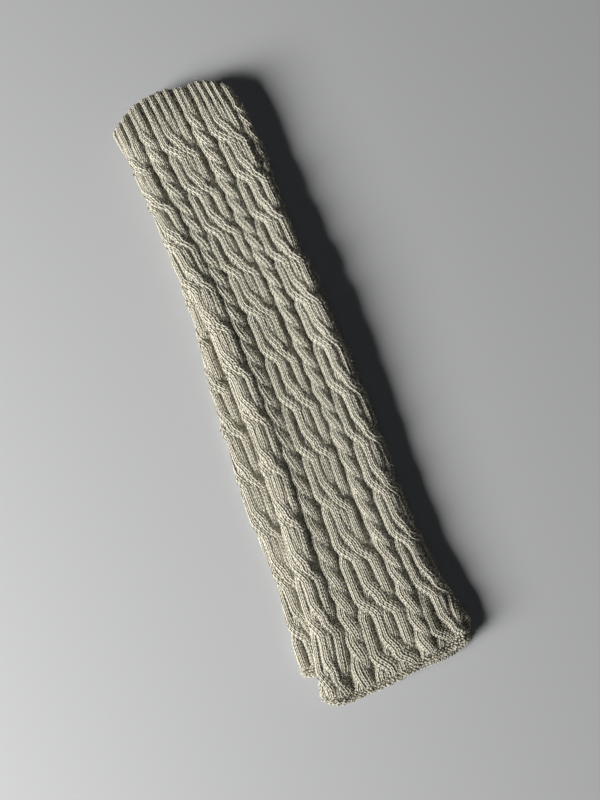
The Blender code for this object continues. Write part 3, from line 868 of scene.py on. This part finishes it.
def fibre_tree():
    """The tree that raises single fibres on the shown faces of a piece of cloth."""
    nodes, given, result = node_group(
        "fibres_on_cloth", "GeometryNodeTree",
        {"Cloth": "Geometry", "Fibre": "Object", "Density": "Float", "Length": "Float",
         "Lift": "Float", "Seed": "Int", "Wool": "Material"}, {"Fibres": "Geometry"})
    showing = nodes.add("FunctionNodeCompare", {0: nodes.attribute("shown", "FLOAT"), 1: 0.5},
                        data_type="FLOAT", operation="GREATER_THAN").outputs["Result"]
    points = nodes.add("GeometryNodeDistributePointsOnFaces", {
        "Mesh": given["Cloth"], "Selection": showing, "Density": given["Density"],
        "Seed": given["Seed"]}).outputs
    lifted = nodes.add("GeometryNodeSetPosition", {
        "Geometry": points["Points"],
        "Offset": nodes.scaled(points["Normal"], given["Lift"])}).outputs["Geometry"]
    spin = nodes.add("FunctionNodeRandomValue", {
        0: (-FIBRE_LEAN, -FIBRE_LEAN, -np.pi), 1: (FIBRE_LEAN, FIBRE_LEAN, np.pi),
        "Seed": given["Seed"]}, data_type="FLOAT_VECTOR").outputs[0]
    share = nodes.add("FunctionNodeRandomValue", {
        2: FIBRE_LENGTHS[0], 3: FIBRE_LENGTHS[1], "Seed": given["Seed"]},
        data_type="FLOAT").outputs[1]
    # The fibre's shape is 1 mm long, so its scale is its length in millimetres.
    scale = nodes.product(nodes.product(share, given["Length"]), 1.0 / MM)
    turned = nodes.turned(points["Rotation"], spin)
    nodes.link(nodes.repeated(lifted, given["Fibre"], turned, scale, given["Wool"]),
               result["Fibres"])
    return nodes.tree


def plain_from(obj, name, tree, values):
    """Run a tree on an object and keep the result as a plain mesh under a new name."""
    modifier = obj.modifiers.new("knit", "NODES")
    modifier.node_group = tree
    for item in tree.interface.items_tree:
        if item.item_type == "SOCKET" and item.in_out == "INPUT" and item.name in values:
            modifier[item.identifier] = values[item.name]
    bpy.context.view_layer.update()
    evaluated = obj.evaluated_get(bpy.context.evaluated_depsgraph_get())
    mesh = bpy.data.meshes.new_from_object(evaluated)
    obj.modifiers.remove(modifier)
    bpy.data.objects.remove(obj, do_unlink=True)
    if not mesh.polygons:
        raise RuntimeError(name + " came out empty")
    mesh.name = name
    for extra in ("out", "along", "size", "shown"):
        if extra in mesh.attributes:
            mesh.attributes.remove(mesh.attributes[extra])
    return shown_object(name, mesh)


def declared(piece):
    """Make a piece ride on the pair's only body."""
    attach(piece, "root")


def knit_piece(owner, name, sites, make_shape, seed_step):
    """Put a stitch on each site and make the whole a piece of one leg warmer."""
    yarn = bpy.context.scene.leg_warmer_yarn
    name = owner + "_" + name
    cloud = new_object(name + "_points", sites["position"], [])
    for key in ("out", "along", "size"):
        attribute = cloud.data.attributes.new(key, "FLOAT_VECTOR", "POINT")
        attribute.data.foreach_set("vector", np.asarray(sites[key], float).ravel())
    piece = plain_from(cloud, name, shared(spread_tree), {
        "Stitch": shared(make_shape), "Unevenness": yarn.unevenness, "Turn": yarn.turn,
        "Size Spread": SIZE_SPREAD, "Seed": yarn.seed + seed_step,
        "Wool": shared(yarn_material)})
    declared(piece)


# ---------------------------------------------------------------- where the stitches are
def units(vectors):
    """The same directions, of length 1."""
    return vectors / np.maximum(np.linalg.norm(vectors, axis=-1, keepdims=True), 1e-9)


def sites_of(position, along, across, size):
    """The sites of stitches: place, direction down the column, direction out of the cloth."""
    along = units(along)
    out = units(np.cross(across, -along))
    return {"position": position, "along": along, "out": out, "size": size}


def chosen(sites, kept):
    return {key: values[kept] for key, values in sites.items()}


def stacked(groups):
    return {key: np.concatenate([group[key] for group in groups]) for key in groups[0]}


def on_show(tube, offset, y):
    """Whether a place is on the front or a side, and not covered by the other tube."""
    uncovered = tube.hidden(tube.line_x(offset, y), y) < COVERED
    return uncovered & (tube.angle(offset, y) < SIDE_STITCHES_END)


def strand_columns(cable, leg):
    """Offset from the strand's middle of each knit column, and whether it shows."""
    rib = CUFF_COLUMN / 2
    columns = ((-rib, -cable.column, True), (rib, 0.0, True),
               (THIRD_COLUMN, cable.column, leg > THIRD_COLUMN_FROM))
    return [(start + (end - start) * leg, shown) for start, end, shown in columns]


def knit_sites(tube):
    """Sites of the knit stitches: rows of them down each column of each strand."""
    y = np.arange(tube.cuff_y - KNIT_FIRST_ROW, tube.hem_y + HEM_KNIT_ENDS, -ROW)
    down = tube.down(y)
    leg, relief, bead = leg_share(down), RELIEF * tube.relief_share(y), tube.bead(y)
    groups = []
    for cable in tube.cables:
        for strand, (middle, lift, half) in enumerate(strand_tracks(cable, down)):

            def surface(place, shift=0.0):
                """The yarn's middle at a place on the strand, moved sideways by a shift."""
                height = lift * rounded(np.clip(place + shift, -half, half), half)
                height = np.maximum(relief * height, bead) - YARN_SINK
                return tube.wall(middle + place + shift, y, height)

            spread = half / half_width(cable, down)
            slant = np.hypot(1.0, np.gradient(middle) / ROW)
            for place, shown in strand_columns(cable, leg):
                place = place * spread
                own = lift * rounded(place, half)
                others = knit_height([cable], middle + place, down, skip=(0, strand))
                kept = (shown & on_show(tube, middle + place, y)
                        & (relief * (others - own) < BURIED) & (own > STEEPEST))
                position = surface(place)
                along = np.gradient(position, axis=0)
                across = surface(place, ASIDE) - surface(place, -ASIDE)
                length = np.linalg.norm(along, axis=1) / ROW
                width = 1.0 - leg + leg * spread / slant * cable.column / CUFF_COLUMN
                size = np.stack([width, length, STITCH_RELIEF / slant], axis=1)
                groups.append(chosen(sites_of(position, along, across, size), kept))
    return stacked(groups)


def purl_sites(tube):
    """Sites of the purl bumps: the valleys, the cuff's gaps and the pits at the crossings."""
    y = np.arange(tube.cuff_y - PURL_FIRST_ROW, tube.hem_y + HEM_KNIT_ENDS, -ROW)
    down = tube.down(y)
    offsets = []
    for cable in tube.cables:
        left = cable.middle - cable.strands * cable.width / 2
        right = left + cable.strands * cable.width
        offsets += [left + k * cable.width for k in range(1, cable.strands)]
        offsets += [left + COLUMN * (k + 0.5) for k in range(2)]
        offsets += [right - COLUMN * (k + 0.5) for k in range(2)]
        offsets += [left - PURL_GAP / 2, right + PURL_GAP / 2]
    ground = np.full_like(y, -PURL_SINK)
    size = np.ones((len(y), 3)) * (PURL_SIZE, 1.0, 1.0)
    groups = []
    for offset in sorted(set(round(value, 3) for value in offsets)):
        height = knit_height(tube.cables, np.full_like(y, offset), down)
        kept = (height < PURL_BELOW) & on_show(tube, offset, y)
        position = tube.wall(offset, y, ground)
        along = np.gradient(position, axis=0)
        across = tube.wall(offset + ASIDE, y, ground) - tube.wall(offset - ASIDE, y, ground)
        groups.append(chosen(sites_of(position, along, across, size), kept))
    return stacked(groups)


def turned_sites(group, spread, random):
    """Turn each site in the plane of the cloth by a random angle."""
    angle = random.uniform(-spread, spread, len(group["position"]))[:, None]
    side = np.cross(group["out"], group["along"])
    group["along"] = group["along"] * np.cos(angle) + side * np.sin(angle)
    return group


def hem_sites(tube, random):
    """Sites of the bumps in the cast-off band: on the front, and inside the back wall."""
    offsets = np.arange(tube.cables[0].middle - 2 * CABLE_STRAND,
                        tube.cables[-1].middle + 2 * CABLE_STRAND, HEM_BUMP_STEP)
    groups = []
    for row, up in enumerate(HEM_BUMP_ROWS):
        shifted = offsets + (row % 2) * HEM_BUMP_STEP / 2
        count = len(shifted)
        shifted = shifted + random.normal(0.0, HEM_BUMP_STRAY[0], count)
        y = tube.hem_y + up + random.normal(0.0, HEM_BUMP_STRAY[1], count)
        height = tube.bead(y) + RELIEF * tube.relief_share(y) * knit_height(
            tube.cables, shifted, tube.down(y)) * HEM_RELIEF - HEM_BUMP_SINK
        height = height + random.uniform(*HEM_BUMP_LIFT, count)
        position = tube.wall(shifted, y, height)
        along = tube.wall(shifted, y - 0.5, height) - position
        across = tube.wall(shifted + ASIDE, y, height) - tube.wall(shifted - ASIDE, y, height)
        size = random.uniform(*HEM_BUMP_SIZE, (count, 1)) * (1.0, 1.0, 1.3)
        group = turned_sites(sites_of(position, along, across, size), HEM_BUMP_TURN, random)
        groups.append(chosen(group, on_show(tube, shifted, y)))
    left, right = tube.sides(tube.hem_y)
    x = np.arange(left + 4.0, right - 2.0, HEM_BUMP_STEP)
    for row, up in enumerate(INSIDE_BUMP_ROWS):
        shifted = x + (row % 2) * HEM_BUMP_STEP / 2 + random.normal(
            0.0, INSIDE_BUMP_STRAY, len(x))
        y = np.full_like(x, tube.hem_y + up)
        position = tube.place(shifted, y, np.full_like(x, BACK_WALL - YARN_SINK),
                              np.zeros_like(x))
        along = np.broadcast_to((0.0, -1.0, 0.0), position.shape)
        across = np.broadcast_to((1.0, 0.0, 0.0), position.shape)
        size = random.uniform(*INSIDE_BUMP_SIZE, (len(x), 1)) * (1.0, 1.0, 0.8)
        groups.append(turned_sites(sites_of(position, along, across, size),
                                   INSIDE_BUMP_TURN, random))
    return stacked(groups)


def rim_path(tube, at_hem, front, drop):
    """Points along an opening's edge, on one wall, close together."""
    y = tube.hem_y if at_hem else tube.cuff_y
    if front:
        first = tube.cables[0].middle - 2 * CABLE_STRAND
        last = tube.cables[-1].middle + tube.cables[-1].strands * CABLE_STRAND / 2
        offset = np.linspace(first, last, RIM_POINTS)
        offset = offset[tube.angle(offset, np.full_like(offset, y)) < RIM_FRONT_END]
        y = np.full_like(offset, y)
        return tube.wall(offset, y, tube.bead(y) - drop)
    left, right = tube.sides(y)
    x = np.linspace(left + 3.0, right - 3.0, RIM_POINTS)
    y = np.full_like(x, y)
    return tube.place(x, y, np.full_like(x, BACK_WALL - drop), np.zeros_like(x))


def rim_sites(tube, at_hem, rim):
    """Sites of links laid one after another along an opening's edge, on both walls."""
    groups = []
    for front, drop, size in zip((True, False), rim.drops, rim.sizes):
        path = rim_path(tube, at_hem, front, drop)
        travelled = np.concatenate([[0.0], np.cumsum(
            np.linalg.norm(np.diff(path, axis=0), axis=1))])
        at = np.arange(rim.step / 2, travelled[-1], rim.step)
        position = np.stack([np.interp(at, travelled, path[:, i]) for i in range(3)], axis=1)
        along = units(np.gradient(position, axis=0))
        out = np.array((0.0, rim.lean, RIM_RISE))
        out = units(out - along * (along @ out)[:, None])
        groups.append({"position": position, "along": along, "out": out,
                       "size": np.full((len(at), 3), size)})
    return stacked(groups)


# ---------------------------------------------------------------- materials
def rgba(color):
    return (*color, 1.0)


def heather_group():
    """Colour of the wool: cream, spun with patches of oatmeal and single dark hairs, and painted
    shade where the cloth lies deep.
    """
    nodes, given, result = node_group(
        "heathered_wool", "ShaderNodeTree",
        {"Position": "Vector", "Cream": "Color", "Oatmeal": "Color", "Fleck and Shade": "Color",
         "Depth": "Float"}, {"Colour": "Color"})
    place = given["Position"]
    spun = nodes.ramp(nodes.noise(place, 900.0, 3.0, 0.65), 0.42, 0.62)
    patches = nodes.ramp(nodes.noise(place, 38.0), 0.35, 0.70)
    amount = nodes.product(spun, nodes.total(nodes.product(patches, 0.35), 0.40))
    wool = nodes.mix(amount, given["Cream"], given["Oatmeal"])
    hairs = nodes.ramp(nodes.noise(place, 1100.0, 2.0, 0.7), 0.58, 0.68)
    wool = nodes.mix(nodes.product(hairs, 0.6), wool, given["Fleck and Shade"])
    pale = nodes.ramp(nodes.noise(place, 900.0, 1.0), 0.58, 0.70)
    wool = nodes.mix(nodes.product(pale, 0.55), wool, (0.90, 0.88, 0.80, 1.0))
    # Painted shade: the whole colour goes towards the fleck colour by the given share, for cloth
    # that lies deep among the yarn.
    nodes.link(nodes.mix(given["Depth"], wool, given["Fleck and Shade"]), result["Colour"])
    return nodes.tree


def fibre_group():
    """Normal of the yarn: its plies wound round it, with a fuzz of fibres on top."""
    nodes, given, result = node_group(
        "yarn_fibres", "ShaderNodeTree",
        {"Position": "Vector", "Yarn": "Vector", "Plies": "Float", "Fuzz": "Float"},
        {"Normal": "Vector"})
    parts = nodes.parts(given["Yarn"])
    wound = nodes.total(nodes.product(parts["X"], 2.0), nodes.product(parts["Y"], 1.6))
    ply = nodes.math("ABSOLUTE", nodes.math("SINE", nodes.product(wound, np.pi)))
    fuzz = nodes.product(nodes.noise(given["Position"], 2600.0, 3.0, 0.7), given["Fuzz"])
    height = nodes.total(nodes.product(ply, given["Plies"]), fuzz)
    nodes.link(nodes.bump(0.55, 0.22 * MM, height), result["Normal"])
    return nodes.tree


def knit_pattern_group():
    """Height of flat knitting where no yarn is modelled: slanted legs in columns and rows."""
    nodes, given, result = node_group(
        "flat_knitting", "ShaderNodeTree", {"Stitches": "Vector"}, {"Height": "Float"})
    parts = nodes.parts(given["Stitches"])
    column = nodes.math("ABSOLUTE", nodes.math(
        "SUBTRACT", nodes.math("FRACT", parts["X"]), 0.5))
    slanted = nodes.total(parts["Y"], nodes.product(column, 1.3))
    legs = nodes.math("SINE", nodes.product(slanted, 2 * np.pi))
    legs = nodes.math("POWER", nodes.total(nodes.product(legs, 0.5), 0.5), 0.6)
    sides = nodes.math("SINE", nodes.product(column, 2 * np.pi))
    sides = nodes.total(nodes.product(sides, 0.7), 0.3)
    nodes.link(nodes.product(legs, sides), result["Height"])
    return nodes.tree


def new_material(name, finish):
    """A material with these values on its surface: itself, its helper, the surface's inputs."""
    material = bpy.data.materials.new(name)
    material.use_nodes = True
    surface = material.node_tree.nodes["Principled BSDF"].inputs
    for socket, value in finish.items():
        surface[socket].default_value = value
    return material, Nodes(material.node_tree), surface


def yarn_shade(nodes, yarn):
    """Painted shade on the yarn: more at its ends, and on the side of the next column."""
    parts = nodes.parts(yarn)
    from_middle = nodes.math("ABSOLUTE", nodes.math(
        "SUBTRACT", nodes.math("FRACT", parts["Y"]), 0.5))
    # Painted shade where the yarn dives into the cloth.
    ends = nodes.ramp(from_middle, 0.16, 0.42)
    # Painted shade on the flank that faces the next column.
    flank = nodes.ramp(nodes.math("COSINE", nodes.product(parts["X"], 2 * np.pi)), 0.1, 0.9)
    return nodes.math("MAXIMUM", nodes.product(ends, ENDS_SHADE),
                      nodes.product(flank, FLANK_SHADE))


def wool_material(name, recess_shade, plies, fuzz, flat_knit):
    """Heathered wool, for yarn or, with flat_knit, for the plain cloth under it."""
    wool = bpy.context.scene.leg_warmer_wool
    material, nodes, surface = new_material(name, {
        "Roughness": wool.roughness, "Sheen Weight": 0.22, "Sheen Roughness": 0.55,
        "Specular IOR Level": 0.1, "Subsurface Weight": wool.glow,
        "Subsurface Radius": (1.2, 1.1, 0.9), "Subsurface Scale": 1.0 * MM})
    place = nodes.add("ShaderNodeTexCoord").outputs["Object"]
    heather = nodes.group(heather_group, {
        "Position": place, "Cream": rgba(wool.cream), "Oatmeal": rgba(wool.oatmeal),
        "Fleck and Shade": rgba(wool.fleck_and_shade), "Depth": recess_shade})
    fibres = nodes.group(fibre_group, {"Position": place, "Plies": plies, "Fuzz": fuzz})
    normal = fibres.outputs["Normal"]
    if flat_knit:
        height = nodes.group(knit_pattern_group, {
            "Stitches": nodes.uv("stitches")}).outputs["Height"]
        normal = nodes.bump(0.9, 0.7 * MM, height, Normal=normal)
        # Painted shade in the low parts of the knit pattern.
        shade = nodes.product(nodes.ramp(height, 0.45, 0.05), 0.45)
    else:
        yarn = nodes.uv("yarn")
        nodes.link(yarn, fibres.inputs["Yarn"])
        shade = yarn_shade(nodes, yarn)
    # The painted shade mixes the colour towards the fleck colour.
    color = nodes.mix(shade, heather.outputs["Colour"], rgba(wool.fleck_and_shade))
    nodes.link(color, surface["Base Color"])
    nodes.link(normal, surface["Normal"])
    return material


def yarn_material():
    return wool_material("cream_wool_yarn", recess_shade=0.0, plies=0.8, fuzz=0.6, flat_knit=False)


def wall_material():
    # The cloth under the stitches gets a fifth of painted shade, since it lies deep among the
    # yarn.
    return wool_material("cream_wool_cloth", recess_shade=0.2, plies=0.0, fuzz=0.6, flat_knit=True)


def fibre_material():
    """Wool of the single hairs: pale, with a little of the oatmeal."""
    wool = bpy.context.scene.leg_warmer_wool
    material, nodes, surface = new_material("cream_wool_fibre", {
        "Roughness": 0.8, "Sheen Weight": 0.3, "Specular IOR Level": 0.2})
    place = nodes.add("ShaderNodeTexCoord").outputs["Object"]
    shade = nodes.ramp(nodes.noise(place, 700.0), 0.35, 0.65)
    color = nodes.mix(shade, rgba(wool.oatmeal), (0.80, 0.77, 0.66, 1.0))
    nodes.link(color, surface["Base Color"])
    return material


# ---------------------------------------------------------------- the walls of cloth
def middles(count):
    """The middles of this many equal parts of 0 to 1."""
    return (np.arange(count) + 0.5) / count


def outer_face(tube, offsets, y):
    """Points of the front and of both sides, with the relief of the strands and the band."""
    offset, y = np.meshgrid(offsets, y)
    relief = RELIEF * tube.relief_share(y) * knit_height(tube.cables, offset, tube.down(y))
    band = 1.0 - smoothstep((y - tube.hem_y - HEM_KNIT_ENDS) / BAND_FADE)
    relief = np.maximum(relief, tube.bead(y)) - WALL_SINK - BAND_SINK * band
    return tube.wall(offset, y, relief)


def underside(tube, first, last, y):
    """Points of the flat underside, between the last and the first column of the outer face."""
    flat_left, flat_right = tube.folds(y)

    def section_x(offset):
        """X on the section of an outer column, before the tube is placed."""
        x = tube.line_x(np.full_like(y, offset), y)
        turn = np.minimum(tube.angle(np.full_like(y, offset), y), np.pi)
        return np.where(x < flat_left, flat_left - LEFT_FOLD * np.sin(turn),
                        np.where(x > flat_right, flat_right + RIGHT_FOLD * np.sin(turn), x))

    start = np.minimum(section_x(last), flat_right)[:, None]
    end = np.maximum(section_x(first), flat_left)[:, None]
    x = start + (end - start) * middles(UNDER_COLUMNS)
    y = np.repeat(y[:, None], UNDER_COLUMNS, axis=1)
    return tube.place(x, y, np.zeros_like(x), np.zeros_like(x))


def slit_face(tube, front_count, y):
    """Points all round the slit inside: under the front, and back along the back wall."""
    left, right = tube.sides(y)
    low, high = (left + EDGE_WALL)[:, None], (right - EDGE_WALL)[:, None]
    across = np.concatenate([middles(front_count), 1.0 - middles(UNDER_COLUMNS)])
    x = low + (high - low) * across
    y = np.repeat(y[:, None], len(across), axis=1)
    front = np.concatenate([np.ones(front_count), np.zeros(UNDER_COLUMNS)])
    roll, bulge = (SLIT_LIFT * np.maximum(tube.table.read(name, y), 0.0)
                   for name in ("roll", "bulge"))
    opening = SLIT * np.sin(np.pi * across) ** SLIT_ROUNDNESS
    z = BACK_WALL + front * (opening + tube.lift(x, y, roll, bulge))
    middle = np.minimum(1.0, 12 * np.minimum(across, 1 - across))
    return tube.place(x, y, z, np.broadcast_to(0.5 + (front - 0.5) * middle, x.shape))


def ring_faces(low, high, count, turned=False):
    """Faces between two rings of points, which start at these two numbers."""
    faces = []
    for i in range(count):
        after = (i + 1) % count
        a, b, c, d = low + i, high + i, high + after, low + after
        faces.append((a, d, c, b) if turned else (a, b, c, d))
    return faces


def wall_mesh(tube, name):
    """The cloth of one leg warmer: outer face, underside, the slit inside and its two rims."""
    first = tube.cables[0].middle - 3 * CABLE_STRAND
    right_cable = tube.cables[-1]
    last = right_cable.middle + right_cable.strands * right_cable.width / 2
    offsets = np.linspace(first, last, int((last - first) / WALL_ACROSS) + 1)
    rows = int((tube.cuff_y - tube.hem_y) / WALL_ALONG)
    y = np.linspace(tube.cuff_y, tube.hem_y, rows + 1)
    slit_y = y[np.unique(np.append(np.arange(0, rows, SLIT_ROWS), rows))]
    outer = outer_face(tube, offsets, y)
    outside = np.concatenate([outer, underside(tube, first, last, y)], axis=1)
    inside = slit_face(tube, len(offsets), slit_y)
    vertices = np.concatenate([outside.reshape(-1, 3), inside.reshape(-1, 3)])

    count = outside.shape[1]
    base, slit_rows = (rows + 1) * count, len(slit_y) - 1
    faces = []
    for row in range(rows):
        faces += ring_faces(row * count, (row + 1) * count, count)
    for row in range(slit_rows):
        faces += ring_faces(base + row * count, base + (row + 1) * count, count, turned=True)
    cuff_rim = ring_faces(0, base, count, turned=True)
    hem_rim = ring_faces(rows * count, base + slit_rows * count, count)
    for both in zip(cuff_rim, hem_rim):
        faces += both
    made = new_object(name, vertices, faces)

    columns = np.concatenate([offsets / COLUMN, offsets[-1] / COLUMN + (
        np.arange(UNDER_COLUMNS) + 0.5) * UNDER_STEP / COLUMN])
    add_uv(made.data, "stitches", np.concatenate([
        np.stack(np.meshgrid(columns, at / ROW), axis=-1).reshape(-1, 2) for at in (y, slit_y)]))
    cover = tube.hidden(tube.line_x(*np.meshgrid(offsets, y)), y[:, None])
    shown = np.zeros(len(vertices))
    shown[:base].reshape(rows + 1, count)[:, :len(offsets)] = (
        (cover < FIBRES_BELOW_COVER) & (outer[..., 2] > FIBRES_ABOVE))
    made.data.attributes.new("shown", "FLOAT", "POINT").data.foreach_set("value", shown)
    made.data.materials.append(shared(wall_material))
    return made


# ---------------------------------------------------------------- the operators
class LEGWARMERS_OT_walls(Operator):
    """Build the two walls of cloth that carry the knitting"""

    bl_idname = "leg_warmers.walls"
    bl_label = "Cloth Walls"

    def execute(self, context):
        for owner, tube in both_tubes():
            wall = wall_mesh(tube, owner + "_cloth")
            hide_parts(owner + "_leg_warmer")
            declared(wall)
        return {"FINISHED"}


class LEGWARMERS_OT_stitches(Operator):
    """Knit the yarn of both leg warmers: knit stitches on the strands, purl bumps between"""

    bl_idname = "leg_warmers.stitches"
    bl_label = "Knit and Purl Stitches"

    def execute(self, context):
        for (owner, tube), parts in zip(both_tubes(), (1, 3)):
            sites = knit_sites(tube)
            heights = sites["position"][:, 1]
            bounds = np.quantile(heights, np.linspace(0, 1, parts + 1))
            bounds[0], bounds[-1] = -np.inf, np.inf
            for part in range(parts):
                kept = (heights >= bounds[part]) & (heights < bounds[part + 1])
                knit_piece(owner, f"knit_stitches_{part + 1}", chosen(sites, kept),
                           knit_stitch, part)
            knit_piece(owner, "purl_stitches", purl_sites(tube), purl_bump, PURL_SEED)
        return {"FINISHED"}


class LEGWARMERS_OT_edges(Operator):
    """Work the edges: the bumpy cast-off band with its chain, and the cast-on of the cuffs"""

    bl_idname = "leg_warmers.edges"
    bl_label = "Cast-off and Cast-on Edges"

    def execute(self, context):
        for owner, tube in both_tubes():
            random = np.random.default_rng(context.scene.leg_warmer_yarn.seed)
            knit_piece(owner, "hem_band", hem_sites(tube, random), purl_bump, BAND_SEED)
            knit_piece(owner, "cast_off_chain", rim_sites(tube, True, CHAIN_RIM), chain_link,
                       CHAIN_SEED)
            knit_piece(owner, "cast_on_edge", rim_sites(tube, False, CAST_ON_RIM), chain_link,
                       CAST_ON_SEED)
        return {"FINISHED"}


class LEGWARMERS_OT_loops(Operator):
    """Add the loose loops of the cast-off edge and the one that a snag has pulled out"""

    bl_idname = "leg_warmers.loops"
    bl_label = "Loose Loops"

    def execute(self, context):
        random = np.random.default_rng(context.scene.leg_warmer_yarn.seed + LOOPS_SEED)
        path = rim_path(upper_tube(), True, True, LOOP_DROP)
        parts = [loose_loop(PULLED_LOOP, radius=2.3, thickness=0.42, turn=0.35, lean=0.4)]
        for place in path[random.integers(20, len(path) - 20, LOOSE_LOOPS)]:
            parts.append(loose_loop(
                place, radius=random.uniform(0.9, 1.7), thickness=0.36,
                turn=random.uniform(-1.2, 1.2), lean=random.uniform(0.2, 0.9)))
        piece = yarn_object("upper_loose_loops", parts)
        piece.data.materials.append(shared(yarn_material))
        declared(piece)
        return {"FINISHED"}


class LEGWARMERS_OT_fibres(Operator):
    """Raise the loose fibres of the wool wherever the cloth of the leg warmers shows"""

    bl_idname = "leg_warmers.fibres"
    bl_label = "Loose Fibres"

    def execute(self, context):
        yarn = context.scene.leg_warmer_yarn
        for step, owner in enumerate(("lower", "upper")):
            cloth = bpy.data.objects[owner + "_cloth"]
            ground = shown_object(owner + "_ground", cloth.data.copy())
            piece = plain_from(ground, owner + "_fibres", shared(fibre_tree), {
                "Fibre": shared(loose_fibre), "Density": yarn.fibre_density,
                "Length": yarn.fibre_length, "Lift": FIBRE_LIFT * MM,
                "Seed": yarn.seed + step, "Wool": shared(fibre_material)})
            declared(piece)
        return {"FINISHED"}


class LEGWARMERS_OT_stage(Operator):
    """Set out the plain floor, the soft lights and the camera above the pair"""

    bl_idname = "leg_warmers.stage"
    bl_label = "Floor, Lights and Camera"

    def execute(self, context):
        stage = context.scene.leg_warmer_stage
        corners = [(x * FLOOR_HALF, y * FLOOR_HALF, -FLOOR_DROP)
                   for x, y in ((-1, -1), (1, -1), (1, 1), (-1, 1))]
        floor = new_object("floor", corners, [(0, 1, 2, 3)])
        floor.data.materials.append(new_material("plain_floor", {
            "Base Color": rgba(stage.floor), "Roughness": 0.9})[0])

        world = bpy.data.worlds.new("soft_room")
        world.use_nodes = True
        background = world.node_tree.nodes["Background"].inputs
        background["Color"].default_value = rgba(WORLD_COLOR)
        background["Strength"].default_value = WORLD_STRENGTH
        context.scene.world = world
        context.scene.view_settings.view_transform = "Standard"
        context.scene.view_settings.look = "None"

        for name, lamp, power in (("key", KEY_LAMP, stage.key_power),
                                  ("fill", FILL_LAMP, stage.fill_power)):
            light = bpy.data.lights.new(name, "AREA")
            light.size, light.energy, light.color = lamp.size, power, lamp.color
            made = bpy.data.objects.new(name, light)
            made.location = lamp.place
            made.rotation_euler = (-Vector(lamp.place)).to_track_quat("-Z", "Y").to_euler()
            context.scene.collection.objects.link(made)

        camera = bpy.data.cameras.new("camera")
        camera.lens, camera.sensor_width = LENS, SENSOR
        camera.clip_start, camera.clip_end = 0.02, 20.0
        made = bpy.data.objects.new("camera", camera)
        made.location = (-ORIGIN_X * MM, -ORIGIN_Y * MM, stage.camera_height)
        made.rotation_euler = (0.0, 0.0, -np.arctan2(*LENGTHWAYS))
        context.scene.collection.objects.link(made)
        context.scene.camera = made
        return {"FINISHED"}


OPERATORS = (LEGWARMERS_OT_walls, LEGWARMERS_OT_stitches, LEGWARMERS_OT_edges,
             LEGWARMERS_OT_loops, LEGWARMERS_OT_fibres, LEGWARMERS_OT_stage)
SETTINGS = {"leg_warmer_yarn": YarnSettings, "leg_warmer_wool": WoolSettings,
            "leg_warmer_stage": StageSettings}


class LEGWARMERS_PT_panel(Panel):
    """Lists the steps that build the pair, with the sizes and colours that may be changed"""

    bl_idname = "LEGWARMERS_PT_panel"
    bl_label = "Leg Warmers"
    bl_space_type = "VIEW_3D"
    bl_region_type = "UI"
    bl_category = "Leg Warmers"

    def draw(self, context):
        for step in OPERATORS:
            self.layout.operator(step.bl_idname)
        for owner in SETTINGS:
            settings = getattr(context.scene, owner)
            box = self.layout.box()
            for name in settings.__annotations__:
                box.prop(settings, name)


CLASSES = (*SETTINGS.values(), *OPERATORS, LEGWARMERS_PT_panel)


def register():
    for one in CLASSES:
        bpy.utils.register_class(one)
    for name, kind in SETTINGS.items():
        setattr(bpy.types.Scene, name, PointerProperty(type=kind))


def unregister():
    for name in SETTINGS:
        delattr(bpy.types.Scene, name)
    for one in reversed(CLASSES):
        bpy.utils.unregister_class(one)


def main():
    register()
    for old in list(bpy.data.objects):
        if old.type in {"LIGHT", "CAMERA"}:
            bpy.data.objects.remove(old, do_unlink=True)
    bpy.ops.leg_warmers.walls()
    bpy.ops.leg_warmers.stitches()
    bpy.ops.leg_warmers.edges()
    bpy.ops.leg_warmers.loops()
    bpy.ops.leg_warmers.fibres()
    bpy.ops.leg_warmers.stage()
    for made in SHARED.values():
        if isinstance(made, bpy.types.Object):
            bpy.data.objects.remove(made, do_unlink=True)
    SHARED.clear()


if __name__ == "__main__":
    main()
